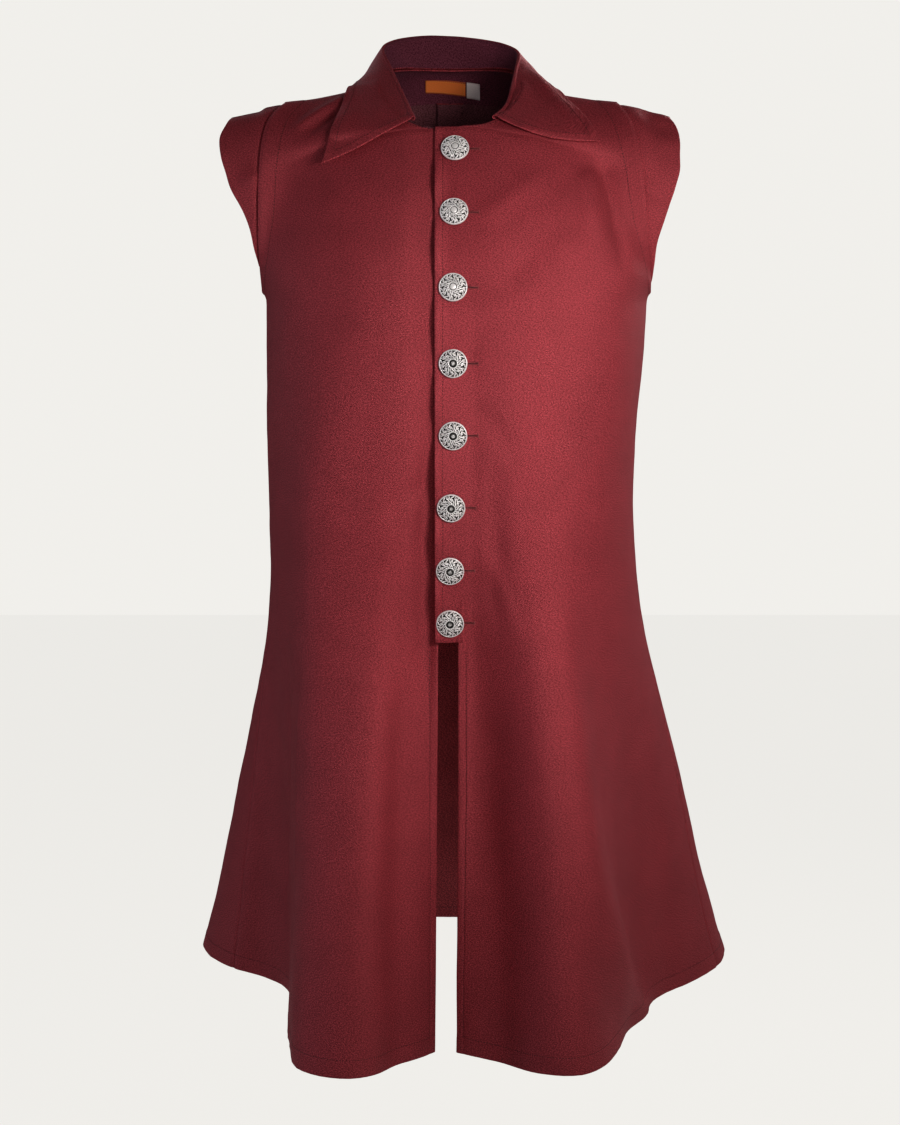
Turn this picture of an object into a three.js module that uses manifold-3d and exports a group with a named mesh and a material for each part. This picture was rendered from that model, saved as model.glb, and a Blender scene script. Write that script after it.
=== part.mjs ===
// A long-skirted sleeveless waistcoat of heavy twill, worn and filled out: two fronts that
// button over each other down to a centre slit, a back with an inverted box pleat under a
// yoke, a cap wing at each armhole, and a turned-down collar.
//
// Units are millimetres and +Z is up. The garment faces -Y, and +X is the wearer's left.
// The origin is midway between the two shoulder tips, where the wearer holds it up.
import * as THREE from 'three';
import Module from 'manifold-3d';
import { mergeVertices } from 'three/addons/utils/BufferGeometryUtils.js';

// ---- Driving dimensions ----
const CLOTH = 1.6; // thickness of every cloth wall
const SEAM_GAP = 0.3; // clearance between two pieces that are sewn together
const HEM_Z = -981; // level of the front hem
const SLIT_Z = -551; // top of the centre slit, where the laps end
const CHEST_Z = -205; // level of the underarm, the widest whole ring above the skirt
const NECK_Z = -28; // centre front of the neck
const NECK_FRONT_Y = -75;
const RING_POWER = 2.35; // roundness of the body's rings: 2 is an ellipse
const LAP_EDGE = -15; // x of the overlapping front edge
const LAP_STEP = 3; // how far the front underneath is set in at the lap
const LAP_FADE = { from: 34, to: 4, below: 60 }; // where that step begins, is full and ends
const SLIT_LEFT = 9; // x of the slit's edge on the wearer's left front
const SLIT_RIGHT = -12; // x of the slit's edge on the wearer's right front
const UNDERLAP_EDGE = 13; // x that the wearer's right front reaches beneath
const SHOULDER_DIP = { right: 3, left: 3.5 }; // how far each shoulder seam sags in the middle

// The body's rings from the underarm to the hips. right and left are half widths on each
// side of the wearer, front and back are depths from the axis, and side is the y of the side
// seam. flare is the share of the way from the body's ring out to the hem's own outline.
const LEVELS = [
  { z: -205, right: 195, left: 209, front: 148, back: 134, side: 6, flare: 0 },
  { z: -260, right: 195, left: 206, front: 158, back: 128, side: 6, flare: 0 },
  { z: -340, right: 195, left: 199, front: 165, back: 120, side: 6, flare: 0 },
  { z: -430, right: 194, left: 196, front: 164, back: 115, side: 6, flare: 0.01 },
  { z: -510, right: 192, left: 198, front: 157, back: 120, side: 8, flare: 0.05 },
  { z: -585, right: 192, left: 199, front: 152, back: 126, side: 10, flare: 0.16 },
  { z: -670, right: 192, left: 199, front: 150, back: 128, side: 10, flare: 0.35 },
  { z: -755, right: 192, left: 199, front: 150, back: 128, side: 10, flare: 0.53 },
  { z: -840, right: 192, left: 199, front: 150, back: 128, side: 10, flare: 0.69 },
  { z: -910, right: 192, left: 199, front: 150, back: 128, side: 10, flare: 0.83 },
  { z: -981, right: 192, left: 199, front: 150, back: 128, side: 10, flare: 1 },
];

// How far the fronts fall back where they meet, and how far out on the wearer's right and
// left they stand forward again.
const HOLLOW = [
  { z: -981, depth: 0, right: 70, left: 110 },
  { z: -910, depth: 5, right: 68, left: 105 },
  { z: -840, depth: 9, right: 66, left: 100 },
  { z: -755, depth: 13, right: 64, left: 94 },
  { z: -670, depth: 16, right: 62, left: 86 },
  { z: -585, depth: 17, right: 60, left: 78 },
  { z: -510, depth: 16, right: 60, left: 74 },
  { z: -430, depth: 14, right: 58, left: 70 },
  { z: -340, depth: 11, right: 56, left: 66 },
  { z: -260, depth: 6, right: 55, left: 65 },
  { z: -205, depth: 3, right: 55, left: 65 },
  { z: -120, depth: 0, right: 55, left: 65 },
];
const HOLLOW_MIDDLE = { x: 1, flat: 23 }; // its deepest line, and half the width that is flat

// The centre line above the underarm: y of the front and of the back at each height.
const CENTRE_FRONT = [
  { z: -205, y: -148 },
  { z: -150, y: -133 },
  { z: -100, y: -113 },
  { z: -60, y: -93 },
  { z: -28, y: -75 },
];
const CENTRE_BACK = [
  { z: -205, y: 134 },
  { z: -120, y: 134 },
  { z: -50, y: 126 },
  { z: 7, y: 110 },
];

// The hem from the slit round the wearer's right side, the back and the left side to the
// slit again: a row for the crest or trough of each fold, and one for each seam.
const HEM = [
  { x: -16, y: -151, z: -982, place: 'slit right' },
  { x: -52, y: -198, z: -983 },
  { x: -99, y: -228, z: -981 },
  { x: -137, y: -211, z: -981 },
  { x: -161, y: -158, z: -981 },
  { x: -174, y: -92, z: -981 },
  { x: -172, y: -24, z: -980 },
  { x: -184, y: 38, z: -978 },
  { x: -213, y: 72, z: -975 },
  { x: -250, y: 92, z: -971, place: 'side right' },
  { x: -282, y: 132, z: -968 },
  { x: -291, y: 180, z: -965 },
  { x: -262, y: 224, z: -962 },
  { x: -196, y: 246, z: -957 },
  { x: -100, y: 252, z: -952 },
  { x: 0, y: 250, z: -950, place: 'centre back' },
  { x: 100, y: 254, z: -952 },
  { x: 206, y: 248, z: -957 },
  { x: 282, y: 226, z: -962 },
  { x: 319, y: 182, z: -965 },
  { x: 321, y: 136, z: -968 },
  { x: 308, y: 98, z: -971, place: 'side left' },
  { x: 274, y: 52, z: -974 },
  { x: 240, y: 17, z: -976 },
  { x: 207, y: -26, z: -978 },
  { x: 188, y: -78, z: -980 },
  { x: 179, y: -136, z: -981 },
  { x: 155, y: -199, z: -981 },
  { x: 120, y: -222, z: -981 },
  { x: 56, y: -191, z: -985 },
  { x: 6, y: -150, z: -983, place: 'slit left' },
];

// The armhole from the front of the underarm over the shoulder tip to the back of it, with
// its x on each side of the wearer.
const ARMHOLE = [
  { right: 195, left: 209, y: 6, z: -205, place: 'underarm front' },
  { right: 198, left: 211, y: -34, z: -189 },
  { right: 198, left: 204, y: -56, z: -130 },
  { right: 197, left: 198, y: -48, z: -62 },
  { right: 190, left: 189, y: -27, z: -20 },
  { right: 173, left: 175, y: 0, z: 2, place: 'shoulder tip' },
  { right: 187, left: 188, y: 27, z: -15 },
  { right: 196, left: 198, y: 52, z: -42, place: 'yoke end' },
  { right: 203, left: 207, y: 76, z: -116 },
  { right: 199, left: 211, y: 54, z: -184 },
  { right: 195, left: 209, y: 6, z: -205, place: 'underarm back' },
];

// Half of the neck edge, from the centre front round to the centre back.
const NECK = [
  { x: 0, y: NECK_FRONT_Y, z: NECK_Z, place: 'centre front' },
  { x: 38, y: -67, z: -24 },
  { x: 65, y: -38, z: -5 },
  { x: 76, y: 2, z: 21, place: 'neck point' },
  { x: 67, y: 47, z: 36 },
  { x: 38, y: 76, z: 41 },
  { x: 0, y: 85, z: 41, place: 'centre back' },
];

// The wings from their front end (share 0) up to the shoulder (share 1), and the same down
// the back: how far the free edge stands out from the armhole, and how far it drops.
const WING = [
  { share: 0, out: 1, drop: 0 },
  { share: 0.25, out: 12, drop: 2 },
  { share: 0.5, out: 34, drop: 6 },
  { share: 0.75, out: 48, drop: 12 },
  { share: 1, out: 57, drop: 13 },
];

// The collar, a row for each section from its right front end round the back of the neck to
// its left front end. seam runs along the neck, fold is the top of the roll, edge is the
// free edge, and bow is how far the fall arches up between the two.
const COLLAR = [
  { seam: [-38, -67, -22], fold: [-38, -67, -18], edge: [-130, -81, -65], bow: -5 },
  { seam: [-55, -52, -12], fold: [-46, -38, 1], edge: [-122, -60, -36], bow: 3 },
  { seam: [-70, -26, 5], fold: [-55, -8, 20], edge: [-112, -31, -9], bow: 5 },
  { seam: [-76, 4, 22], fold: [-64, 22, 40], edge: [-104, 14, 16], bow: 5 },
  { seam: [-70, 41, 35], fold: [-72, 52, 60], edge: [-97, 62, 13], bow: 5 },
  { seam: [-52, 67, 40], fold: [-60, 71, 70], edge: [-78, 100, 14], bow: 6 },
  { seam: [-27, 80, 41], fold: [-30, 77, 75], edge: [-40, 116, 17], bow: 6 },
  { seam: [0, 85, 41], fold: [0, 79, 75], edge: [0, 121, 17], bow: 6 },
  { seam: [27, 80, 41], fold: [30, 77, 72], edge: [40, 116, 17], bow: 6 },
  { seam: [52, 67, 40], fold: [58, 71, 66], edge: [79, 100, 14], bow: 6 },
  { seam: [70, 41, 35], fold: [73, 52, 56], edge: [98, 60, 13], bow: 4 },
  { seam: [76, 4, 22], fold: [70, 21, 38], edge: [109, 12, 15], bow: 4 },
  { seam: [70, -26, 6], fold: [65, -12, 16], edge: [123, -16, 0], bow: 3 },
  { seam: [60, -45, -9], fold: [59, -37, -3], edge: [139, -36, -21], bow: 0 },
  { seam: [46, -61, -20], fold: [46, -62, -17], edge: [154, -58, -42], bow: -26 },
];

// Where each button sits on the lap, from the neck down.
const BUTTONS = [
  { x: 5, z: -52 },
  { x: 4, z: -115.6 },
  { x: 3, z: -190 },
  { x: 3, z: -265 },
  { x: 3, z: -337 },
  { x: 1, z: -410 },
  { x: 0, z: -475 },
  { x: 0, z: -530.5 },
];

// ---- Lines and tables ----

const { lerp, inverseLerp, clamp, smoothstep } = THREE.MathUtils;
const vec = (x, y, z) => new THREE.Vector3(x, y, z);
const mix = (a, b, share) => a.clone().lerp(b, share);
const mixLines = (first, second, share) => first.map((point, k) => mix(point, second[k], share));
const toward = (from, to) => to.clone().sub(from).normalize();
const range = (count) => Array.from({ length: count }, (_, index) => index);
const placeIndex = (rows, place) => rows.findIndex((row) => row.place === place);

// Value of a table's column at a place on its key column, smooth from row to row.
function read(rows, at, column, key = 'z') {
  const sorted = [...rows].sort((p, q) => p[key] - q[key]);
  const row = (index) => sorted[clamp(index, 0, sorted.length - 1)];
  let i = 0;
  while (i < sorted.length - 2 && at > sorted[i + 1][key]) i += 1;
  const slope = (p, q) => (q[column] - p[column]) / (q[key] - p[key]);
  const [a, b] = [row(i), row(i + 1)];
  const span = b[key] - a[key];
  const u = clamp((at - a[key]) / span, 0, 1);
  const ease = 3 * u ** 2 - 2 * u ** 3;
  const startSlope = slope(row(i - 1), b) * span * (u ** 3 - 2 * u ** 2 + u);
  const endSlope = slope(a, row(i + 2)) * span * (u ** 3 - u ** 2);
  return lerp(a[column], b[column], ease) + startSlope + endSlope;
}

const STEPS_PER_ROW = 12; // steps of a smooth line from one row of its table to the next

// Smooth line through points, as a close polyline from one numbered point to another.
function smooth(points, first = 0, last = points.length - 1) {
  const curve = new THREE.CatmullRomCurve3(points, false, 'catmullrom', 0.5);
  const place = (k) => (first + k / STEPS_PER_ROW) / (points.length - 1);
  return range((last - first) * STEPS_PER_ROW + 1).map((k) => curve.getPoint(place(k)));
}

// Point at a share of a polyline's length.
function along(line, share) {
  const lengths = line.slice(1).map((point, i) => point.distanceTo(line[i]));
  let left = clamp(share, 0, 1) * lengths.reduce((sum, length) => sum + length, 0);
  let i = 0;
  while (i < lengths.length - 1 && left > lengths[i]) {
    left -= lengths[i];
    i += 1;
  }
  return mix(line[i], line[i + 1], Math.min(left / lengths[i], 1));
}

const spread = (line, count) => range(count + 1).map((k) => along(line, k / count));

// ---- Walls of cloth ----

// A cloth panel from a grid of points on its outer face. facing is 1 where the grid's columns
// run to the right as seen from outside, and keep says which of its cells hold cloth.
function panel(grid, facing, keep = () => true) {
  const columns = grid[0].length;
  const points = grid.flat();
  const id = (r, c) => r * columns + c;
  const cells = grid.slice(1).flatMap((_, r) => range(columns - 1).filter((c) => keep(r, c)).map((c) => (
    [id(r, c), id(r, c + 1), id(r + 1, c + 1), id(r + 1, c)]
  )));
  const faces = cells.flatMap(([a, b, c, d]) => (
    points[a].distanceTo(points[c]) <= points[b].distanceTo(points[d])
      ? [[a, b, c], [a, c, d]] : [[a, b, d], [b, c, d]]
  ));
  const normals = points.map(() => vec(0, 0, 0));
  for (const [a, b, c] of faces) {
    const normal = points[b].clone().sub(points[a]).cross(points[c].clone().sub(points[a]));
    for (const corner of [a, b, c]) normals[corner].addScaledVector(normal, facing);
  }
  normals.forEach((normal) => normal.normalize());
  return { grid, points, normals, cells, faces, facing };
}

// Gives the points that two panels share along a seam one common direction.
function sew(first, second) {
  first.points.forEach((point, i) => {
    second.points.forEach((other, j) => {
      if (point.distanceTo(other) > 2 * SEAM_GAP) return;
      const common = first.normals[i].clone().add(second.normals[j]).normalize();
      first.normals[i].copy(common);
      second.normals[j].copy(common);
    });
  });
}

const SHOULDER_LEAN = 0.2; // sideways lean of the cloth's direction along a shoulder seam

// Gives a front and the yoke one upright direction along the shoulder seam, their last rows.
function sewShoulder(front, yoke, side) {
  const up = vec(side * SHOULDER_LEAN, 0, 1).normalize();
  const count = front.grid[0].length - LAP_CELLS;
  const last = yoke.normals.slice(-yoke.grid[0].length);
  const seam = side < 0 ? last.slice(0, SHOULDER_CELLS + 1) : last.slice(-SHOULDER_CELLS - 1);
  for (const normal of [...front.normals.slice(-count), ...seam]) normal.copy(up);
}

// The closed wall of a panel: its outer face, its inner face and the rim between them.
function wall({ points, normals, cells, faces, facing }, depth = CLOTH) {
  const inner = points.map((point, k) => point.clone().addScaledVector(normals[k], -depth));
  const rim = new Map();
  for (const cell of cells) {
    cell.forEach((a, k) => {
      const b = cell[(k + 1) % 4];
      if (!rim.delete(`${b},${a}`)) rim.set(`${a},${b}`, [a, b]);
    });
  }
  const deep = points.length;
  const triangles = [
    ...faces,
    ...faces.map(([a, b, c]) => [a + deep, c + deep, b + deep]),
    ...[...rim.values()].flatMap(([a, b]) => [[a, a + deep, b + deep], [a, b + deep, b]]),
  ];
  return solid([...points, ...inner], facing > 0 ? triangles : triangles.map(([a, b, c]) => [a, c, b]));
}

// A geometry that holds only the points its triangles use.
function solid(points, triangles) {
  const used = new Map();
  const index = triangles.flat().map((k) => {
    if (!used.has(k)) used.set(k, used.size);
    return used.get(k);
  });
  const geometry = new THREE.BufferGeometry();
  const position = [...used.keys()].flatMap((k) => points[k].toArray());
  geometry.setAttribute('position', new THREE.Float32BufferAttribute(position, 3));
  geometry.setIndex(index);
  return geometry;
}

const SEAM_SHARE = 0.55; // of the seam's gap that each of the two pieces gives up

// Draws a grid's outer rows and columns in from the seams that they meet.
function inset(grid, { top = false, bottom = false, start = false, end = false }) {
  const pull = (point, inside) => point.add(inside.clone().sub(point).setLength(SEAM_GAP * SEAM_SHARE));
  if (bottom) grid[0].forEach((point, c) => pull(point, grid[1][c]));
  if (top) grid.at(-1).forEach((point, c) => pull(point, grid.at(-2)[c]));
  for (const row of grid) {
    if (start) pull(row[0], row[1]);
    if (end) pull(row.at(-1), row.at(-2));
  }
  return grid;
}

// A patch between four edges, two across and two upward. It leaves the lower edge without
// a crease, and the end edge shapes only the cloth near it.
function patch(lower, upper, start, end) {
  const rows = start.length - 1;
  const columns = lower.length - 1;
  return start.map((_, r) => lower.map((__, c) => {
    const s = (c / columns) ** 3;
    const t = smoothstep(r / rows, 0, 1);
    const corners = mix(mix(lower[0], lower[columns], s), mix(upper[0], upper[columns], s), t);
    return mix(start[r], end[r], s).add(mix(lower[c], upper[c], t)).sub(corners);
  }));
}

// ---- The worn form ----

const hemPoints = HEM.map(({ x, y, z }) => vec(x, y, z));
const neckPoints = (side) => NECK.map(({ x, y, z }) => vec(side * x, y, z));
const armholePoints = (side) => ARMHOLE.map(({ right, left, y, z }) => vec(side < 0 ? -right : left, y, z));
const stretch = (rows, points, from, to) => smooth(points, placeIndex(rows, from), placeIndex(rows, to));
const hemLine = (from, to) => stretch(HEM, hemPoints, from, to);
const neckLine = (side, from, to) => stretch(NECK, neckPoints(side), from, to);
const armholeLine = (side, from, to) => stretch(ARMHOLE, armholePoints(side), from, to);

// A shoulder's seam from the neck point out to the tip.
function shoulderSeam(side, count) {
  const tip = armholePoints(side)[placeIndex(ARMHOLE, 'shoulder tip')];
  const neckPoint = neckPoints(side)[placeIndex(NECK, 'neck point')];
  const dip = side < 0 ? SHOULDER_DIP.right : SHOULDER_DIP.left;
  return spread([neckPoint, tip], count).map((point, k) => (
    point.setZ(point.z - dip * Math.sin((k / count) * Math.PI))
  ));
}

// Heights of the grid's rows from the hem to the underarm: a row falls on the slit's top.
const SKIRT_ROWS = 10;
const BODY_ROWS = 7;
const RING_STEPS = 24; // steps of a ring from the centre line to the side seam
const HEIGHTS = [
  ...range(SKIRT_ROWS).map((k) => lerp(HEM_Z, SLIT_Z, k / SKIRT_ROWS)),
  ...range(BODY_ROWS + 1).map((k) => lerp(SLIT_Z, CHEST_Z, k / BODY_ROWS)),
];
const CHEST_ROW = HEIGHTS.length - 1;

// A quarter of the body's ring at a height, from x near the centre line to the side seam.
function quarterRing(z, side, half, startX) {
  const width = read(LEVELS, z, side < 0 ? 'right' : 'left');
  const sideY = read(LEVELS, z, 'side');
  const centreY = half === 'front' ? -read(LEVELS, z, 'front') : read(LEVELS, z, 'back');
  const power = 2 / RING_POWER;
  const first = Math.asin((Math.max(startX * side, 0) / width) ** (1 / power));
  return range(RING_STEPS + 1).map((k) => {
    const angle = lerp(first, Math.PI / 2, k / RING_STEPS);
    const x = side * width * Math.sin(angle) ** power;
    return vec(x, sideY + (centreY - sideY) * Math.max(Math.cos(angle), 0) ** power, z);
  });
}

// A row of points from the centre to the side: the body's ring, carried out to the hem.
function ringRow(z, ring, hem, count) {
  const flare = read(LEVELS, z, 'flare');
  return range(count + 1).map((k) => {
    const onHem = along(hem, k / count);
    const point = mix(along(ring, k / count), onHem, flare);
    return point.setZ(z + (onHem.z - HEM_Z) * flare);
  });
}

// ---- Fronts ----

const FRONT_CELLS = 13; // across a front, from the slit's edge to the side seam
const LAP_CELLS = 2; // across the lap
const CHEST_TO_NECK = 7; // rows up the centre above the underarm
const NECKLINE_ROWS = 5; // rows from the centre front of the neck to the shoulder
const NECK_ROW = CHEST_ROW + CHEST_TO_NECK;

// How far the fronts fall back at this place.
function hollow({ x, z }) {
  const row = (column) => read(HOLLOW, z, column);
  const beside = x - HOLLOW_MIDDLE.x;
  const out = Math.max(Math.abs(beside) - HOLLOW_MIDDLE.flat, 0) / row(beside < 0 ? 'right' : 'left');
  return Math.max(row('depth'), 0) * (1 - Math.min(out, 1)) ** 2;
}

// How far the right front is set in beneath the left one at this place.
function lapStep(point) {
  const across = smoothstep(point.x, LAP_EDGE - LAP_FADE.from, LAP_EDGE - LAP_FADE.to);
  return LAP_STEP * across * smoothstep(point.z, SLIT_Z - LAP_FADE.below, SLIT_Z);
}

function frontPanel(side) {
  const slitX = side > 0 ? SLIT_LEFT : SLIT_RIGHT;
  const lapX = side > 0 ? LAP_EDGE : UNDERLAP_EDGE;
  const hem = side > 0
    ? hemLine('side left', 'slit left').reverse()
    : hemLine('slit right', 'side right');
  const rows = HEIGHTS.map((z) => ringRow(z, quarterRing(z, side, 'front', slitX), hem, FRONT_CELLS));
  const lower = rows.pop();

  const centre = range(CHEST_TO_NECK + 1).map((k) => {
    const z = lerp(CHEST_Z, NECK_Z, k / CHEST_TO_NECK);
    return vec(lower[0].x, read(CENTRE_FRONT, z, 'y'), z);
  });
  centre[0] = lower[0];
  const neck = neckLine(side, 'centre front', 'neck point').filter(({ x }) => Math.abs(x) > Math.abs(slitX));
  const start = [...centre, ...spread([centre.at(-1), ...neck], NECKLINE_ROWS).slice(1)];
  const end = spread(armholeLine(side, 'underarm front', 'shoulder tip'), start.length - 1);
  end[0] = lower.at(-1);
  rows.push(...patch(lower, shoulderSeam(side, FRONT_CELLS), start, end));
  for (const point of rows.flat()) point.y += hollow(point);

  // The lap carries each row on past the slit's line.
  const grid = rows.map((row) => {
    const lap = range(LAP_CELLS).map((k) => row[0].clone().setX(lerp(lapX, row[0].x, k / LAP_CELLS)));
    return [...lap, ...row];
  });
  inset(grid, { top: true, end: true });
  const keep = (r, c) => c >= LAP_CELLS || (r >= SKIRT_ROWS && r < NECK_ROW);
  const front = panel(grid, side, keep);
  if (side > 0) return front;
  front.points.forEach((point, k) => point.addScaledVector(front.normals[k], -lapStep(point)));
  return front;
}

// ---- Yoke ----

const SHOULDER_CELLS = 5; // along each shoulder seam
const NECK_CELLS = 4; // along each half of the back of the neck
const BACK_CELLS = SHOULDER_CELLS + NECK_CELLS;
const YOKE_ROWS = 4;
const YOKE_RISE = 9; // how far the yoke rounds up between the shoulder blades
const YOKE_RISE_FADE = 5; // how fast that dies away toward the armholes
const YOKE_END_FADE = 6; // how fast the armhole's curve dies away across the yoke
const YOKE_CENTRE = { y: 110, z: 7 };
const PLEAT_HALF = 13; // half width of the inverted pleat
const YOKE_MIDDLE = 10; // half width of the two middle cells at the neck

// The yoke's upper edge from the shoulder tip along the shoulder and round the neck to a
// place just short of the centre back.
function yokeTop(side) {
  const neck = neckLine(side, 'neck point', 'centre back').filter(({ x }) => Math.abs(x) > YOKE_MIDDLE);
  return [...shoulderSeam(side, SHOULDER_CELLS).reverse().slice(0, -1), ...spread(neck, NECK_CELLS)];
}

// The yoke's lower seam from the armhole to the pleat: a flat arch.
function yokeSeam(side) {
  const end = armholePoints(side)[placeIndex(ARMHOLE, 'yoke end')];
  const top = yokeTop(side);
  return top.map(({ x }) => {
    const out = lerp(PLEAT_HALF / Math.abs(end.x), 1, (x - top.at(-1).x) / (top[0].x - top.at(-1).x));
    const round = (1 - out ** RING_POWER) ** (1 / RING_POWER);
    const z = lerp(YOKE_CENTRE.z, end.z, out ** 2);
    return vec(end.x * out, lerp(end.y, YOKE_CENTRE.y, round), z);
  });
}

function yokePanel() {
  const across = (line) => {
    const [right, left] = [line(-1), line(1).reverse()];
    return [...right, mix(right.at(-1), left[0], 0.5), ...left];
  };
  const [lower, upper] = [across(yokeSeam), across(yokeTop)];
  const armhole = (side) => armholeLine(side, 'shoulder tip', 'yoke end');
  const ends = [-1, 1].map((side) => spread(armhole(side), YOKE_ROWS).reverse());
  const bulge = (edge, r) => edge[r].clone().sub(mix(edge[0], edge[YOKE_ROWS], r / YOKE_ROWS));
  const grid = range(YOKE_ROWS + 1).map((r) => lower.map((low, c) => {
    const t = r / YOKE_ROWS;
    const s = c / (lower.length - 1);
    const point = mix(low, upper[c], t);
    point.addScaledVector(bulge(ends[0], r), (1 - s) ** YOKE_END_FADE);
    point.addScaledVector(bulge(ends[1], r), s ** YOKE_END_FADE);
    point.z += YOKE_RISE * Math.sin(t * Math.PI) * Math.sin(s * Math.PI) ** YOKE_RISE_FADE;
    return point;
  }));
  return panel(inset(grid, { top: true, bottom: true }), -1);
}

// ---- Back ----

const PLEAT_TURN = 2 * CLOTH + 0.3; // depth of each outer fold, the cloth doubled back
const PLEAT_UNDER = 0.8; // from there to the layer that lies across the middle
const PLEAT_GAP = 1.5; // from the centre line to each of the pleat's meeting folds
const PLEAT_OPEN = { half: 24, gap: 14, depth: 10, curve: 1.6 }; // growth of its sizes to the hem
const PLEAT_BELOW_SEAM = 0.8; // the folds stop this far short of the yoke's seam
const BACK_ROWS = 7; // above the underarm

const pleatOpening = (z) => inverseLerp(YOKE_CENTRE.z, HEM_Z, Math.min(z, YOKE_CENTRE.z)) ** PLEAT_OPEN.curve;
const pleatHalf = (z) => PLEAT_HALF + PLEAT_OPEN.half * pleatOpening(z);

// The pleat's folds across the centre back, from its right edge to its left edge.
function pleatRow(right, left) {
  const centre = mix(right, left, 0.5);
  const open = pleatOpening(centre.z);
  const half = pleatHalf(centre.z);
  const gap = PLEAT_GAP + PLEAT_OPEN.gap * open;
  const turn = PLEAT_TURN + PLEAT_OPEN.depth * open;
  const depth = turn + PLEAT_UNDER + PLEAT_OPEN.depth * open;
  const path = [[gap, 0], [gap, turn], [half, turn], [half, depth]];
  const z = centre.z - PLEAT_BELOW_SEAM;
  const fold = (side) => path.map(([x, inward]) => vec(side * x, centre.y - inward, z));
  return [...fold(-1), vec(0, centre.y - depth, z), ...fold(1).reverse()];
}

function backHalf(side) {
  const hem = side > 0
    ? hemLine('centre back', 'side left')
    : hemLine('side right', 'centre back').reverse();
  const rows = HEIGHTS.map((z) => {
    const edge = side * pleatHalf(z);
    const hemPart = hem.filter(({ x }) => Math.abs(x) > Math.abs(edge));
    return ringRow(z, quarterRing(z, side, 'back', edge), hemPart, BACK_CELLS).reverse();
  });
  const lower = rows.pop();
  const start = spread(armholeLine(side, 'yoke end', 'underarm back'), BACK_ROWS).reverse();
  start[0] = lower[0];
  const centre = range(BACK_ROWS + 1).map((k) => {
    const z = lerp(CHEST_Z, YOKE_CENTRE.z, k / BACK_ROWS);
    return vec(side * pleatHalf(z), read(CENTRE_BACK, z, 'y'), z);
  });
  centre[0] = lower.at(-1);
  const upper = yokeSeam(side);
  centre[BACK_ROWS] = upper.at(-1);
  const flip = (line) => [...line].reverse();
  rows.push(...patch(flip(lower), flip(upper), centre, start).map(flip));
  return rows;
}

function backPanel() {
  const left = backHalf(1);
  const grid = backHalf(-1).map((row, r) => {
    const pleat = pleatRow(row.at(-1), left[r].at(-1));
    return [...row, ...pleat, ...left[r].reverse()];
  });
  inset(grid, { top: true, start: true, end: true });
  return panel(grid, -1);
}

// ---- Wings ----

const WING_START = { right: 3, left: 2 }; // rows above the underarm where a wing begins
const WING_TUCK = 7; // how far a wing reaches in beneath the armhole's edge
const TUCK_CLEAR = 1.4; // and how far it dips there
const WING_STEPS = 4; // cells from the armhole to the free edge
const WING_DROOP = 0.35; // how flat a wing leaves the armhole
const WING_GATHER = 0.3; // how far its free edge is drawn to the middle of the shoulder

// The armhole's edge from a wing's front end to its back end, with the direction into the
// cloth and the direction outward at each point.
function armholeRun(side, front, yoke, back) {
  const edge = ({ grid, normals }, column) => grid.map((row, r) => {
    const c = column < 0 ? row.length - 1 : 0;
    const inward = toward(row[c], row.at(c > 0 ? -2 : 1));
    return { point: row[c], inward, outward: normals[r * row.length + c] };
  });
  const outer = side < 0 ? 0 : -1;
  const start = CHEST_ROW + (side < 0 ? WING_START.right : WING_START.left);
  return [
    ...edge(front, -1).slice(start),
    ...edge(yoke, outer).slice(1, -1).reverse(),
    ...edge(back, outer).slice(start - 1).reverse(),
  ];
}

function wingPanel(side, ...neighbours) {
  const run = armholeRun(side, ...neighbours);
  const line = run.map(({ point }) => point);
  const top = line.reduce((best, point, k) => (point.z > line[best].z ? k : best), 0);
  const lengthTo = (k) => line.slice(1, k + 1).reduce((sum, point, i) => sum + point.distanceTo(line[i]), 0);
  const whole = lengthTo(line.length - 1);
  const rows = run.map(({ point, inward, outward }, k) => {
    const share = k <= top
      ? lengthTo(k) / lengthTo(top)
      : (whole - lengthTo(k)) / (whole - lengthTo(top));
    const under = point.clone().addScaledVector(outward, -(CLOTH + SEAM_GAP));
    const free = under.clone();
    free.x += side * read(WING, share, 'out', 'share');
    free.z -= read(WING, share, 'drop', 'share');
    free.y *= 1 - WING_GATHER * share;
    const leave = under.clone().addScaledVector(inward, -under.distanceTo(free) * WING_DROOP);
    const curve = new THREE.QuadraticBezierCurve3(under, leave, free);
    const tuck = under.clone().addScaledVector(inward, WING_TUCK).addScaledVector(outward, -TUCK_CLEAR);
    return [tuck, ...curve.getPoints(WING_STEPS)];
  });
  return panel(rows, side);
}

// ---- Collar ----

const COLLAR_SECTIONS = 32;
const ROLL = 1.4; // inner radius of the roll at the collar's fold
const STAND_POINTS = 4; // up the stand to the fold
const STAND_MIDDLE = 0.55; // share of the way up of the point between the foot and the roll
const FALL_STEPS = 5;
const FALL_ARCH = { at: 0.42, out: 0.5 }; // where the fall arches, and how far out it leans there
const COLLAR_FOOT = 1.5; // height of the stand's lower edge above the neck edge
const FALL_CLEAR = 3; // from the cloth beneath to the under side of the fall
const SHOULDER_MIDDLE = { share: 0.85, y: 15, z: -90 }; // the fall is laid away from here
const REACH = 400; // farther than any piece from there

// One section of the collar's under side: up the stand, over the roll and down the fall.
function collarSection(seam, fold, edge, bow) {
  const out = edge.clone().sub(fold).setZ(0).normalize();
  const near = fold.clone().addScaledVector(out, -ROLL).setZ(fold.z - ROLL);
  const far = fold.clone().addScaledVector(out, ROLL).setZ(fold.z - ROLL);
  const arch = mix(far, edge, FALL_ARCH.at).add(vec(0, 0, bow));
  arch.addScaledVector(out, bow * FALL_ARCH.out);
  const fall = new THREE.QuadraticBezierCurve3(far, arch, edge).getPoints(FALL_STEPS);
  const foot = seam.clone().add(vec(0, 0, COLLAR_FOOT));
  return [foot, mix(foot, near, STAND_MIDDLE), near, fold, ...fall];
}

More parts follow.
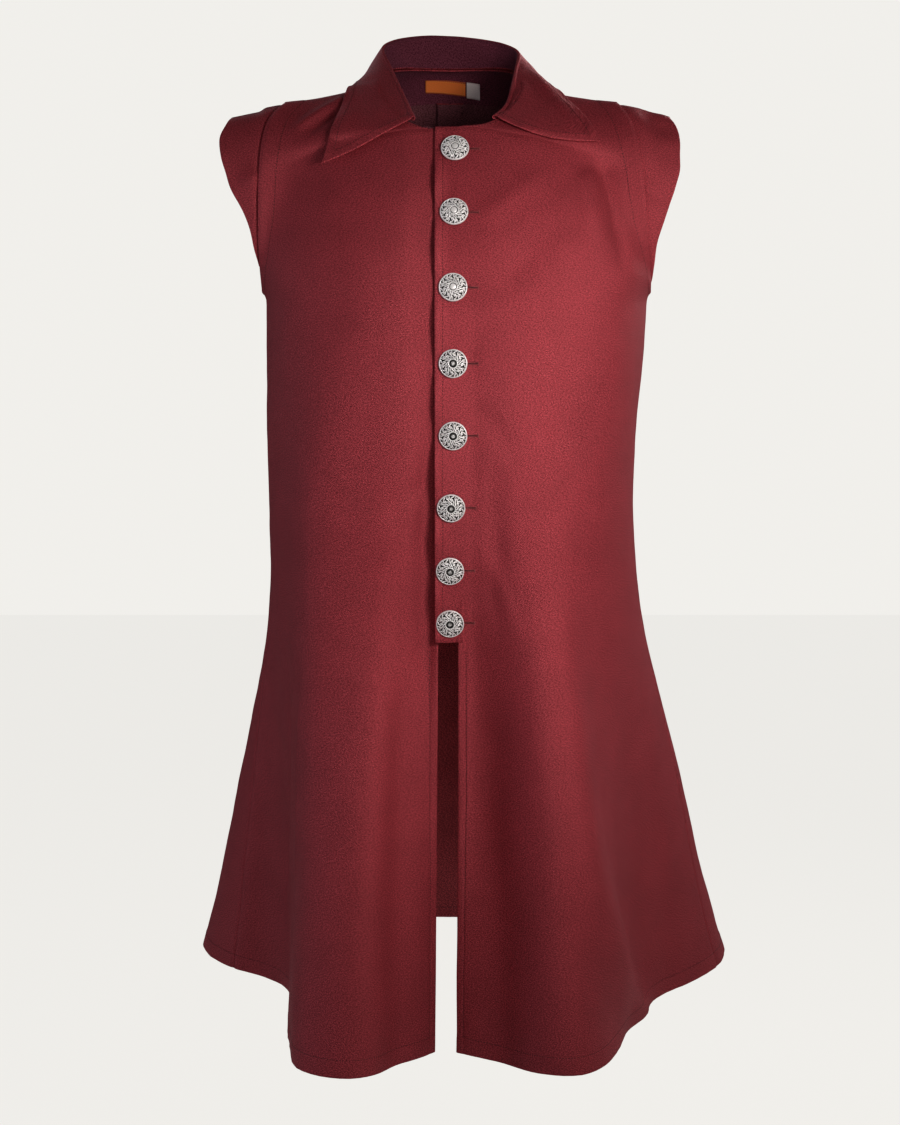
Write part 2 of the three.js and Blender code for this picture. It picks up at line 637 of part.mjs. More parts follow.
// Moves a point of the fall out from the middle of the shoulders until it clears the cloth.
function laidOver(point, under) {
  const centre = vec(point.x * SHOULDER_MIDDLE.share, SHOULDER_MIDDLE.y, SHOULDER_MIDDLE.z);
  const away = toward(centre, point);
  const start = centre.clone().addScaledVector(away, REACH);
  const ray = new THREE.Raycaster(start, away.clone().negate(), 0, REACH);
  const [hit] = ray.intersectObjects(under);
  if (!hit || hit.point.distanceTo(centre) + FALL_CLEAR < point.distanceTo(centre)) return point;
  return hit.point.addScaledVector(away, FALL_CLEAR);
}

function collarPanel(under) {
  const column = (name) => smooth(COLLAR.map((row) => vec(...row[name])));
  const bows = smooth(COLLAR.map(({ bow }) => vec(bow, 0, 0)));
  const [seam, fold, edge] = ['seam', 'fold', 'edge'].map(column);
  const sections = range(COLLAR_SECTIONS + 1).map((k) => {
    const at = Math.round((k / COLLAR_SECTIONS) * (seam.length - 1));
    const section = collarSection(seam[at], fold[at], edge[at], bows[at].x);
    return section.map((point, step) => (step < STAND_POINTS ? point : laidOver(point, under)));
  });
  return panel(sections, 1);
}

// ---- Buttons ----

const BUTTON_RADIUS = 14.5;
const BUTTON_SIDES = 18;
const BUTTON_CLEAR = 1.1; // from the cloth to the button's rim
const BUTTON_SLOPE = 0.6; // share of the radius over which the cloth's slope is taken
const SHANK = { width: 5, thickness: 1.5, inside: 1, reach: LAP_STEP - SEAM_GAP - 0.2 };
const BUTTONHOLE = { before: 3, after: 24, height: 2.2 };
const DOME = [ // the button's profile from its under side round to the top
  { radius: 0, height: 0 },
  { radius: 13.4, height: 0 },
  { radius: BUTTON_RADIUS, height: 1.2 },
  { radius: 14.1, height: 2.2 },
  { radius: 10.5, height: 4.3 },
  { radius: 5.5, height: 5.6 },
  { radius: 0, height: 6 },
];

const wasm = await Module();
wasm.setup();

function toManifold(geometry) {
  const merged = geometry.clone();
  merged.deleteAttribute('normal');
  merged.deleteAttribute('uv');
  const welded = mergeVertices(merged);
  return new wasm.Manifold(new wasm.Mesh({
    numProp: 3,
    vertProperties: welded.attributes.position.array,
    triVerts: new Uint32Array(welded.index.array),
  }));
}

function fromManifold(body) {
  const { vertProperties, triVerts } = body.getMesh();
  const geometry = new THREE.BufferGeometry();
  geometry.setAttribute('position', new THREE.BufferAttribute(vertProperties, 3));
  geometry.setIndex(new THREE.BufferAttribute(triVerts, 1));
  return geometry;
}

// Where a button sits: the place on the overlapping front straight behind it, and a frame
// whose y axis points out of the cloth and whose x axis runs level.
function buttonFrame({ x, z }, front) {
  const hit = (height) => {
    const ray = new THREE.Raycaster(vec(x, -REACH, height), vec(0, 1, 0));
    return ray.intersectObject(front)[0].point;
  };
  const half = BUTTON_RADIUS * BUTTON_SLOPE;
  const up = hit(z + half).sub(hit(z - half)).normalize();
  const out = up.clone().cross(vec(1, 0, 0)).negate().normalize();
  const frame = new THREE.Matrix4().makeBasis(vec(1, 0, 0), out, up.negate());
  return frame.setPosition(hit(z));
}

function buttonGeometry() {
  const profile = DOME.map(({ radius, height }) => new THREE.Vector2(radius, height + BUTTON_CLEAR));
  const dome = new THREE.LatheGeometry(profile, BUTTON_SIDES);
  const top = BUTTON_CLEAR + SHANK.inside;
  const shank = new THREE.BoxGeometry(SHANK.width, top + SHANK.reach, SHANK.thickness);
  shank.translate(0, (top - SHANK.reach) / 2, 0);
  return fromManifold(toManifold(dome).add(toManifold(shank)));
}

// The overlapping front with a slot cut through it at each button, which the shank stands in.
function withButtonholes(geometry, frames) {
  const length = BUTTONHOLE.before + BUTTONHOLE.after;
  const slot = new THREE.BoxGeometry(length, 4 * CLOTH, BUTTONHOLE.height);
  slot.translate(length / 2 - BUTTONHOLE.before, 0, 0);
  const cut = frames.reduce(
    (body, frame) => body.subtract(toManifold(slot.clone().applyMatrix4(frame))),
    toManifold(geometry),
  );
  return fromManifold(cut);
}

// ---- Labels ----

const TAG_DEPTH = 0.8;
const TAG_CLEAR = 0.3; // beyond the seam's gap, from the cloth to a tag
const TAG_CELLS = 3;
const TAGS = { // on the inside of the yoke: x at each end, and shares of its height at the middle
  label: { from: -27, to: 17, low: 0.17, high: 0.47, tilt: 0.08 },
  size_tag: { from: 18.5, to: 33, low: 0.1, high: 0.42, tilt: 0.02 },
};

// A flat tag that lies against the inside of the yoke.
function tagPanel({ from, to, low, high, tilt }, { grid, normals }) {
  const columns = grid[0].length;
  const inside = (x, height) => {
    const r = Math.min(Math.floor(height * YOKE_ROWS), YOKE_ROWS - 1);
    const row = mixLines(grid[r], grid[r + 1], height * YOKE_ROWS - r);
    const c = row.findIndex((point) => point.x > x) - 1;
    const share = (x - row[c].x) / (row[c + 1].x - row[c].x);
    const normal = mix(normals[r * columns + c], normals[r * columns + c + 1], share).normalize();
    return mix(row[c], row[c + 1], share).addScaledVector(normal, -(CLOTH + SEAM_GAP + TAG_CLEAR));
  };
  const rows = [low, high].map((height) => range(TAG_CELLS + 1).map((k) => (
    inside(lerp(from, to, k / TAG_CELLS), height + tilt * (0.5 - k / TAG_CELLS))
  )));
  return panel(rows, -1);
}

// ---- Model ----

// Finishes of the pieces.
const TWILL = { color: 0x6e1c26, roughness: 0.85, metalness: 0 };
const METAL = { color: 0xb9b6b0, roughness: 0.35, metalness: 0.9 };
const LABEL = { color: 0xb4501e, roughness: 0.7, metalness: 0 };
const SIZE_TAG = { color: 0xc9b8bb, roughness: 0.7, metalness: 0 };
const waistcoat = new THREE.Group();

function add(name, geometry, finish) {
  const mesh = new THREE.Mesh(geometry, new THREE.MeshStandardMaterial(finish));
  mesh.name = name;
  waistcoat.add(mesh);
  return mesh;
}

const panels = {
  front_left: frontPanel(1),
  front_right: frontPanel(-1),
  back: backPanel(),
  yoke: yokePanel(),
};
const { front_left: frontLeft, front_right: frontRight, back, yoke } = panels;
for (const piece of [frontLeft, frontRight, yoke]) sew(piece, back);
sewShoulder(frontRight, yoke, -1);
sewShoulder(frontLeft, yoke, 1);
panels.wing_right = wingPanel(-1, frontRight, yoke, back);
panels.wing_left = wingPanel(1, frontLeft, yoke, back);
for (const [name, shape] of Object.entries(panels)) add(name, wall(shape), TWILL);
const under = waistcoat.children.filter(({ name }) => !name.startsWith('wing'));
add('collar', wall(collarPanel(under)), TWILL);

const overlap = waistcoat.getObjectByName('front_left');
const frames = BUTTONS.map((button) => buttonFrame(button, overlap));
overlap.geometry = withButtonholes(overlap.geometry, frames);
frames.forEach((frame, k) => add(`button_${k + 1}`, buttonGeometry().applyMatrix4(frame), METAL));

add('label', wall(tagPanel(TAGS.label, yoke), TAG_DEPTH), LABEL);
add('size_tag', wall(tagPanel(TAGS.size_tag, yoke), TAG_DEPTH), SIZE_TAG);

export default waistcoat;
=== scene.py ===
"""A long-skirted sleeveless waistcoat of wine-red twill, filled out with no wearer in it.

Metres, +Z up. The garment faces -Y and +X is the wearer's left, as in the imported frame.
"""
import math

import bpy
import numpy as np
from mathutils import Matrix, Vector, noise
from mathutils.bvhtree import BVHTree


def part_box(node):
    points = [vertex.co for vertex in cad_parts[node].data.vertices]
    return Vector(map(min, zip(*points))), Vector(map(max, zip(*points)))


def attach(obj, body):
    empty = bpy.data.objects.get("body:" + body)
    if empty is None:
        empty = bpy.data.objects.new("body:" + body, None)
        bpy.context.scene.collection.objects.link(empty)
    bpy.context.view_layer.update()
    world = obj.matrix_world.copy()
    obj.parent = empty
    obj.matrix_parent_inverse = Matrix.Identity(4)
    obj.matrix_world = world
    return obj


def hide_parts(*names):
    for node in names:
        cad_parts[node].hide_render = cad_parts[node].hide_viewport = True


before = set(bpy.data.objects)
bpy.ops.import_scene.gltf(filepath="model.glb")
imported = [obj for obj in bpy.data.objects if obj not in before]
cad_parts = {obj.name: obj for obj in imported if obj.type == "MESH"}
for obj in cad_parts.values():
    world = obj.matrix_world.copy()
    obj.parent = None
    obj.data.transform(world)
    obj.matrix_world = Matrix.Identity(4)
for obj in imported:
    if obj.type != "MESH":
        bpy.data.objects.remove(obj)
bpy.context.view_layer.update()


# ---- Camera ----
# A long lens in front of the garment, a little above its middle and tipped down.
CAMERA_PLACE = (0, -2.4, -0.1497)
CAMERA_PITCH = math.radians(8)
CAMERA_LENS, SENSOR_WIDTH = 89.7, 36


def stood(name, data):
    """A camera, lamp or mesh, put into the scene."""
    made = bpy.data.objects.new(name, data)
    bpy.context.scene.collection.objects.link(made)
    return made


camera = stood("camera", bpy.data.cameras.new("camera"))
camera.data.lens = CAMERA_LENS
camera.data.sensor_width = SENSOR_WIDTH
camera.data.sensor_fit = "HORIZONTAL"
camera.location = CAMERA_PLACE
camera.rotation_euler = (math.pi / 2 - CAMERA_PITCH, 0, 0)
bpy.context.scene.camera = camera


# ---- Fronts ----
# Two fronts of heavy cotton twill, cut to stand out over a wearer's chest and hips. The
# wearer's left one laps over the right down to a slit that opens the skirt. Their edges are
# turned in and topstitched, and the hem is turned up.
CLOTH = 0.0016
HEM_Z = -0.981
SLIT_Z = -0.551
CHEST_Z = -0.205
NECK_Z = -0.028
ROUNDNESS = 2.35

LEVELS = {  # half widths, depths from the axis, the side seam's y, and the share of the hem's flare
    "z": (-0.981, -0.91, -0.84, -0.755, -0.67, -0.585, -0.51, -0.43, -0.34, -0.26, -0.205),
    "right": (0.192, 0.192, 0.192, 0.192, 0.192, 0.192, 0.192, 0.194, 0.195, 0.195, 0.195),
    "left": (0.199, 0.199, 0.199, 0.199, 0.199, 0.199, 0.198, 0.196, 0.199, 0.206, 0.209),
    "front": (0.15, 0.15, 0.15, 0.15, 0.15, 0.152, 0.157, 0.164, 0.165, 0.158, 0.148),
    "back": (0.128, 0.128, 0.128, 0.128, 0.128, 0.126, 0.12, 0.115, 0.12, 0.128, 0.134),
    "side": (0.01, 0.01, 0.01, 0.01, 0.01, 0.01, 0.008, 0.006, 0.006, 0.006, 0.006),
    "flare": (1, 0.83, 0.69, 0.53, 0.35, 0.16, 0.05, 0.01, 0, 0, 0),
}
HOLLOW = {  # how far the fronts fall back where they meet, and how wide that is on each side
    "z": (*LEVELS["z"], -0.12),
    "depth": (0, 0.005, 0.009, 0.013, 0.016, 0.017, 0.016, 0.014, 0.011, 0.006, 0.003, 0),
    "right": (0.07, 0.068, 0.066, 0.064, 0.062, 0.06, 0.06, 0.058, 0.056, 0.055, 0.055, 0.055),
    "left": (0.11, 0.105, 0.1, 0.094, 0.086, 0.078, 0.074, 0.07, 0.066, 0.065, 0.065, 0.065),
}
HOLLOW_MIDDLE = {"x": 0.001, "flat": 0.023}
CENTRE_FRONT = {
    "z": (-0.205, -0.15, -0.1, -0.06, -0.028),
    "y": (-0.148, -0.133, -0.113, -0.093, -0.075),
}
HEM = [  # x, y, z at the crest or trough of each fold
    (-0.016, -0.151, -0.982), (-0.052, -0.198, -0.983), (-0.099, -0.228, -0.981),
    (-0.137, -0.211, -0.981), (-0.161, -0.158, -0.981), (-0.174, -0.092, -0.981),
    (-0.172, -0.024, -0.980), (-0.184, 0.038, -0.978), (-0.213, 0.072, -0.975),
    (-0.250, 0.092, -0.971), (-0.282, 0.132, -0.968), (-0.291, 0.180, -0.965),
    (-0.262, 0.224, -0.962), (-0.196, 0.246, -0.957), (-0.100, 0.252, -0.952),
    (0.000, 0.250, -0.950), (0.100, 0.254, -0.952), (0.206, 0.248, -0.957),
    (0.282, 0.226, -0.962), (0.319, 0.182, -0.965), (0.321, 0.136, -0.968),
    (0.308, 0.098, -0.971), (0.274, 0.052, -0.974), (0.240, 0.017, -0.976),
    (0.207, -0.026, -0.978), (0.188, -0.078, -0.980), (0.179, -0.136, -0.981),
    (0.155, -0.199, -0.981), (0.120, -0.222, -0.981), (0.056, -0.191, -0.985),
    (0.006, -0.150, -0.983),
]
FRONT_HEM = {-1: (0, 9), 1: (30, 21)}  # from the slit to the side seam
BACK_HEM = {-1: (15, 9), 1: (15, 21)}  # from the centre back to the side seam
ARMHOLE = [  # x on the right and on the left, y, z, from the underarm over the shoulder and back
    (0.195, 0.209, 0.006, -0.205), (0.198, 0.211, -0.034, -0.189), (0.198, 0.204, -0.056, -0.130),
    (0.197, 0.198, -0.048, -0.062), (0.190, 0.189, -0.027, -0.020), (0.173, 0.175, 0.000, 0.002),
    (0.187, 0.188, 0.027, -0.015), (0.196, 0.198, 0.052, -0.042), (0.203, 0.207, 0.076, -0.116),
    (0.199, 0.211, 0.054, -0.184), (0.195, 0.209, 0.006, -0.205),
]
SHOULDER_TIP_AT, YOKE_END_AT, UNDERARM_AT = 5, 7, 10
NECK = [  # x, y, z from the centre front to the centre back
    (0.000, -0.075, -0.028), (0.038, -0.067, -0.024), (0.065, -0.038, -0.005),
    (0.076, 0.002, 0.021), (0.067, 0.047, 0.036), (0.038, 0.076, 0.041),
    (0.000, 0.085, 0.041),
]
NECK_POINT_AT = 3
SHOULDER_DIP = {-1: 0.003, 1: 0.0035}


def joined(u, start, end, leaving, arriving):
    """A smooth run between two values with these slopes, at share u of the way."""
    low = (2 * u**3 - 3 * u**2 + 1) * start + (u**3 - 2 * u**2 + u) * leaving
    return low + (3 * u**2 - 2 * u**3) * end + (u**3 - u**2) * arriving


def soft_step(share):
    return share**2 * (3 - 2 * share)


def unit(ways):
    return ways / np.linalg.norm(ways, axis=-1, keepdims=True)


def eased(keys, values, place):
    """Value at a place on a table's key column, smooth from row to row."""
    keys, values = np.asarray(keys, float), np.asarray(values, float)
    slope = np.empty(len(keys))
    slope[1:-1] = (values[2:] - values[:-2]) / (keys[2:] - keys[:-2])
    slope[[0, -1]] = np.diff(values)[[0, -1]] / np.diff(keys)[[0, -1]]
    i = np.clip(np.searchsorted(keys, place, "right") - 1, 0, len(keys) - 2)
    span = keys[i + 1] - keys[i]
    u = np.clip((place - keys[i]) / span, 0, 1)
    return joined(u, values[i], values[i + 1], span * slope[i], span * slope[i + 1])


def eased_in(table, column, points):
    return eased(table["z"], table[column], points[..., 2])


def through(points, first=0, last=None, steps=24):
    """A smooth line through points, from one numbered point to another."""
    points = np.asarray(points, float)
    last = len(points) - 1 if last is None else last
    held = np.vstack([2 * points[0] - points[1], points, 2 * points[-1] - points[-2]])
    u = np.linspace(0, 1, steps, endpoint=False)[:, None]
    line = []
    for i in range(first, last):
        before, start, end, after = held[i : i + 4]
        line.append(joined(u, start, end, (end - before) / 2, (after - start) / 2))
    return np.vstack([*line, points[last]])


def run_of(line):
    """How far along a line each of its points lies."""
    return np.concatenate([[0], np.cumsum(np.linalg.norm(np.diff(line, axis=0), axis=1))])


def at_places(table, keys, places):
    """Rows of a table at places on its keys, straight from row to row."""
    return np.stack([np.interp(places, keys, axis) for axis in table.T], axis=-1)


def at_share(line, shares):
    """Points of a line at these shares of its length."""
    run = run_of(line)
    return at_places(line, run, np.asarray(shares) * run[-1])


def level(z, column):
    return eased(LEVELS["z"], LEVELS[column], z)


def hem_line(first, last):
    line = through(HEM, min(first, last), max(first, last))
    return line if first < last else line[::-1]


def neck_line(side, first, last):
    return through(NECK, first, last) * (side, 1, 1)


def armhole_line(side, first, last):
    right, left, y, z = np.array(ARMHOLE).T
    return through(np.stack([-right if side < 0 else left, y, z], axis=1), first, last)


def shoulder_seam(side, shares):
    """The seam from the neck point out to the shoulder's tip, sagging a little between."""
    ends = neck_line(side, 0, NECK_POINT_AT)[-1], armhole_line(side, 0, SHOULDER_TIP_AT)[-1]
    seam = at_share(np.stack(ends), shares)
    seam[:, 2] -= SHOULDER_DIP[side] * np.sin(np.asarray(shares) * math.pi)
    return seam


def ring(z, side, half, start_x, steps=60):
    """A quarter of the body's ring, from an x near the centre line to the side seam."""
    width = level(z, "right" if side < 0 else "left")
    side_y = level(z, "side")
    centre_y = -level(z, "front") if half == "front" else level(z, "back")
    first = math.asin((max(start_x * side, 0) / width) ** (ROUNDNESS / 2))
    angle = np.linspace(first, math.pi / 2, steps)
    x = side * width * np.sin(angle) ** (2 / ROUNDNESS)
    y = side_y + (centre_y - side_y) * np.maximum(np.cos(angle), 0) ** (2 / ROUNDNESS)
    return np.stack([x, y, np.full(steps, z)], axis=1)


def skirt_row(z, quarter, hem, stations):
    """One row from the centre to the side: the body's ring, carried out towards the hem."""
    flare = level(z, "flare")
    length = (1 - flare) * run_of(quarter)[-1] + flare * run_of(hem)[-1]
    shares = stations(length)
    on_hem = at_share(hem, shares)
    row = at_share(quarter, shares) * (1 - flare) + on_hem * flare
    row[:, 2] = z + (on_hem[:, 2] - HEM_Z) * flare
    return row


def stations(near, far, count):
    """Shares of a length: fixed distances from either end, and even cells between them."""
    def shares(length):
        middle = np.linspace(near[-1], length - far[-1], count + 1)[1:-1]
        return np.concatenate([near, middle, length - np.array(far[::-1])]) / length
    return shares


def patch(lower, upper, start, end, shares, rises):
    """Cloth between four edges. It leaves the lower edge without a crease, and the end edge
    shapes only what is near it."""
    s = (np.asarray(shares) ** 3)[None, :, None]
    t = soft_step(np.asarray(rises))[:, None, None]
    low, high = lower[None], upper[None]
    across = start[:, None] * (1 - s) + end[:, None] * s
    upward = low * (1 - t) + high * t
    low_ends = lower[0] * (1 - s) + lower[-1] * s
    high_ends = upper[0] * (1 - s) + upper[-1] * s
    return across + upward - (low_ends * (1 - t) + high_ends * t)


def outward(grid, facing):
    """The direction out of the cloth at each point of a panel's grid."""
    along = np.gradient(grid, axis=1)
    up = np.gradient(grid, axis=0)
    return unit(np.cross(along, up) * facing)


STITCH_IN = 0.0075
HEM_TURN = 0.017
CELL = 0.005
NEAR_EDGE = (0, 0.0012, 0.0034, 0.0058, 0.0068, 0.0075, 0.0082, 0.0095, 0.0125, 0.0165)
LAP_BEYOND = (0.019, 0.0215)
LAP_CELLS = len(NEAR_EDGE) + len(LAP_BEYOND)
NEAR_SEAM = (0, 0.0008, 0.002, 0.004, 0.0075)
NEAR_HEM = (0, 0.0015, 0.005, 0.01, 0.0145, 0.0162, 0.017, 0.0178, 0.0195, 0.0235)
SLIT = {-1: -0.012, 1: 0.009}
LAP_EDGE = {-1: 0.013, 1: -0.015}
LAP_SET_IN = 0.003
LAP_FADE = {"from": 0.034, "to": 0.004, "below": 0.06}
FRONT_CELLS = 52
NECK_SHARE = 7 / 12
NECK_STEPS, SHOULDER_STEPS, CHEST_RUN = 36, 22, 0.24

SKIRT_ROWS = round((SLIT_Z - HEM_Z) / CELL)
BODY_ROWS = round((CHEST_Z - SLIT_Z) / CELL)
HEIGHTS = np.concatenate([
    HEM_Z + np.array(NEAR_HEM),
    np.linspace(HEM_Z + NEAR_HEM[-1], SLIT_Z, SKIRT_ROWS - 3)[1:],
    np.linspace(SLIT_Z, CHEST_Z, BODY_ROWS + 1)[1:],
])
CHEST_ROW = len(HEIGHTS) - 1
SLIT_ROW = int(np.argmin(abs(HEIGHTS - SLIT_Z)))
RISES = np.concatenate([
    np.linspace(0, NECK_SHARE, NECK_STEPS)[:-1],
    np.linspace(NECK_SHARE, 1, SHOULDER_STEPS)[:-2],
    1 - np.array(NEAR_SEAM[::-1]) / CHEST_RUN,
])
NECK_ROW = CHEST_ROW + int(np.argmin(abs(RISES - NECK_SHARE)))


def front_grid(side):
    """The outer face of a front, from the lap's edge to the side seam and from the hem up."""
    slit_x = SLIT[side]
    hem = hem_line(*FRONT_HEM[side])
    spacing = stations(NEAR_EDGE, NEAR_SEAM, FRONT_CELLS)
    rows = [skirt_row(z, ring(z, side, "front", slit_x), hem, spacing) for z in HEIGHTS]
    lower = rows.pop()
    shares = run_of(lower) / run_of(lower)[-1]

    in_neck = RISES > NECK_SHARE
    centre_z = CHEST_Z + (NECK_Z - CHEST_Z) * np.minimum(RISES / NECK_SHARE, 1)
    centre_y = eased(CENTRE_FRONT["z"], CENTRE_FRONT["y"], centre_z)
    start = np.stack([np.full(len(RISES), lower[0, 0]), centre_y, centre_z], axis=1)
    neck = neck_line(side, 0, NECK_POINT_AT)
    neck = np.vstack([start[~in_neck][-1], neck[abs(neck[:, 0]) > abs(slit_x)]])
    start[in_neck] = at_share(neck, (RISES[in_neck] - NECK_SHARE) / (1 - NECK_SHARE))
    end = at_share(armhole_line(side, 0, SHOULDER_TIP_AT), RISES)
    start[0], end[0] = lower[0], lower[-1]
    chest = patch(lower, shoulder_seam(side, shares), start, end, shares, RISES)

    body = np.concatenate([np.array(rows), chest])
    beside = body[..., 0] - HOLLOW_MIDDLE["x"]
    width = np.where(beside < 0, eased_in(HOLLOW, "right", body), eased_in(HOLLOW, "left", body))
    reach = np.clip((abs(beside) - HOLLOW_MIDDLE["flat"]) / width, 0, 1)
    body[..., 1] += np.maximum(eased_in(HOLLOW, "depth", body), 0) * (1 - reach) ** 2
    lap = np.repeat(body[:, :1], LAP_CELLS, axis=1)
    across = np.array(NEAR_EDGE + LAP_BEYOND) / abs(slit_x - LAP_EDGE[side])
    lap[:, :, 0] = LAP_EDGE[side] + (slit_x - LAP_EDGE[side]) * across
    return np.concatenate([lap, body], axis=1)


def front_keep(grid):
    """The cells of a front that hold cloth: the lap ends at the slit and at the neck."""
    row, column = np.indices((grid.shape[0] - 1, grid.shape[1] - 1))
    return (column >= LAP_CELLS) | ((row >= SLIT_ROW) & (row < NECK_ROW))


def set_in_for_lap(grid):
    """Sets the front underneath in by a little more than the cloth that laps over it."""
    begins, width = LAP_EDGE[1] - LAP_FADE["from"], LAP_FADE["from"] - LAP_FADE["to"]
    across = np.clip((grid[..., 0] - begins) / width, 0, 1)
    upward = np.clip((grid[..., 2] - SLIT_Z) / LAP_FADE["below"] + 1, 0, 1)
    depth = LAP_SET_IN * soft_step(across) * soft_step(upward)
    return grid - outward(grid, -1) * depth[..., None]


bare = {1: front_grid(1), -1: set_in_for_lap(front_grid(-1))}


SIDE_LEAN = {-1: (HEM[8], HEM[10]), 1: (HEM[20], HEM[22])}
SIDE_RISE = 0.25
SHOULDER_LEAN = 0.2


def side_direction(side, z):
    """The way out of the cloth at the side seam, for both pieces that meet there."""
    first, last = np.array(SIDE_LEAN[side])
    across = unit(np.cross(last - first, (0, 0, 1)))
    flare = level(z, "flare")[:, None]
    lean = across * np.sign(across[0]) * side * flare + np.array((side, 0, 0)) * (1 - flare)
    return unit(lean + np.array((0, 0, SIDE_RISE)) * flare)


def shoulder_direction(side):
    return unit(np.array((side * SHOULDER_LEAN, 0, 1)))


FRONT_FOLDS = [  # a line by x and z, width, height, and where it rises and dies away
    ([(0.022, -0.401), (0.026, -0.461), (0.03, -0.546), (0.034, -0.625), (0.038, -0.754),
      (0.044, -0.858), (0.05, -0.981)], 0.036, -0.014, (0.55, 0)),
    ([(0.094, -0.32), (0.104, -0.466), (0.113, -0.61), (0.138, -0.774), (0.167, -0.873),
      (0.198, -0.981)], 0.036, 0.016, (0.45, 0)),
    ([(-0.036, -0.3), (-0.039, -0.45), (-0.042, -0.606), (-0.045, -0.759), (-0.048, -0.918),
      (-0.05, -0.981)], 0.028, -0.012, (0.5, 0)),
    ([(-0.12, -0.2), (-0.127, -0.3), (-0.132, -0.461), (-0.137, -0.625), (-0.141, -0.784),
      (-0.144, -0.903), (-0.146, -0.981)], 0.042, 0.013, (0.3, 0)),
    ([(-0.144, -0.551), (-0.15, -0.68), (-0.151, -0.779), (-0.161, -0.858), (-0.168, -0.937)
    ], 0.005, 0.0018, (0.3, 0.1)),
    ([(-0.165, -0.556), (-0.172, -0.685), (-0.178, -0.789), (-0.19, -0.901)
    ], 0.012, -0.004, (0.3, 0.2)),
    ([(-0.107, 0.007), (-0.13, -0.007), (-0.157, -0.026), (-0.167, -0.041)
    ], 0.006, 0.0035, (0.1, 0.4)),
    ([(-0.114, -0.008), (-0.133, -0.02), (-0.153, -0.038)], 0.007, -0.0035, (0.2, 0.4)),
    ([(0.155, -0.057), (0.163, -0.082), (0.172, -0.132), (0.176, -0.193)
    ], 0.01, -0.005, (0.1, 0.5)),
    ([(0.139, -0.065), (0.143, -0.103), (0.153, -0.161)], 0.012, 0.004, (0.2, 0.5)),
    ([(0.03, -0.125), (0.06, -0.1), (0.1, -0.065)], 0.012, 0.0016, (0.2, 0.5)),
    ([(0.035, -0.19), (0.07, -0.17), (0.11, -0.12)], 0.016, -0.0024, (0.3, 0.5)),
    ([(0.02, -0.255), (0.05, -0.275), (0.08, -0.31)], 0.01, 0.0018, (0.2, 0.5)),
    ([(0.016, -0.3), (0.045, -0.33), (0.07, -0.375)], 0.011, -0.0022, (0.2, 0.5)),
    ([(0.05, -0.34), (0.048, -0.4), (0.046, -0.47), (0.045, -0.55)], 0.014, -0.004, (0.4, 0.4)),
    ([(-0.018, -0.3), (-0.02, -0.4), (-0.022, -0.55), (-0.02, -0.66)], 0.012, -0.004, (0.3, 0.3)),
    ([(-0.02, -0.38), (-0.048, -0.401), (-0.078, -0.431)], 0.01, -0.002, (0.3, 0.5)),
    ([(0.025, -0.446), (0.051, -0.491), (0.072, -0.566)], 0.008, 0.002, (0.3, 0.5)),
]


def raised(grid, out, lift):
    return grid + out * lift[..., None]


def slack(grid, out, folds, amount=0.001):
    """Cloth with its folds pressed in and the unevenness of wear over them."""
    return uneven(folded(grid, out, folds), out, amount)


def folded(grid, out, folds):
    """Presses soft folds into cloth. Each has a line over the cloth, a width, a height and the
    shares of its length over which it rises and dies away."""
    points = grid.reshape(-1, 3)
    lift = np.zeros(len(points))
    for line, width, height, (rise, fade) in folds:
        path = through(line, steps=40)
        share = run_of(path) / run_of(path)[-1]
        near = np.full(len(points), np.inf)
        best = np.zeros(len(points), int)
        for k, place in enumerate(path):
            gap = ((points - place) ** 2).sum(axis=1)
            closer = gap < near
            near[closer], best[closer] = gap[closer], k
        strength = np.clip(share[best] / rise, 0, 1)
        if fade:
            strength *= np.clip((1 - share[best]) / fade, 0, 1)
        lift += height * soft_step(strength) * np.exp(-near / width**2)
    return raised(grid, out, lift.reshape(grid.shape[:2]))


def laid(grid, folds):
    """Folds whose lines are given by x and z alone, brought onto the cloth."""
    points = grid.reshape(-1, 3)
    placed = []
    for line, *sizes in folds:
        nearest = [((points[:, ::2] - place) ** 2).sum(axis=1).argmin() for place in line]
        placed.append((points[nearest], *sizes))
    return placed


UNEVEN = ((16, 1), (52, 0.3))  # waves to the metre, and their share of the height


def uneven(grid, out, amount):
    """The slight unevenness of pressed cloth that has been worn."""
    lift = [
        sum(noise.noise(Vector(point) * often) * amount * share for often, share in UNEVEN)
        for point in grid.reshape(-1, 3)
    ]
    return raised(grid, out, np.array(lift).reshape(grid.shape[:2]))


TURN_RAISED, TURN_STEP, GROOVE_REACH = 0.0003, 0.0022, 0.0007
GROOVE = {"edge": 0.0006, "hem": 0.0003, "armhole": 0.0005}
SEAM_DIP, SEAM_REACH = 0.0009, 0.0022
ARMHOLE_DIP = 0.001
SEAM_ROWS = 25
FACING = 0.021
HEM_ROWS = 60
HEM_WAVE = {"height": 0.0007, "reach": 0.02}
LAP_WAVE = {"height": 0.0006, "reach": 0.012, "width": 0.03}
WAVES_PER_METRE, WAVE_START = 95, (3.7, 0.2)


def bump(distance, reach):
    """The height of a soft bump, 1 over its middle, by the distance from it."""
    return np.exp(-((distance / reach) ** 2))


def distance_to(grid, line):
    return np.linalg.norm(grid - line, axis=2)


def ruled(distance, band, groove, raised_by=TURN_RAISED):
    """Height of an edge that is turned in and stitched down, by the distance from it."""
    beyond = (distance - band) / TURN_STEP
    turned = np.where(beyond > 1, 0, raised_by * (1 - np.clip(beyond, 0, 1) ** 2))
    return turned - groove * bump(distance - band, GROOVE_REACH)


def puckered(places, amount):
    """The little waves that stitching draws into an edge, by the place along it."""
    waves = [noise.noise(Vector((place * WAVES_PER_METRE, *WAVE_START))) for place in places]
    return np.array(waves) * amount


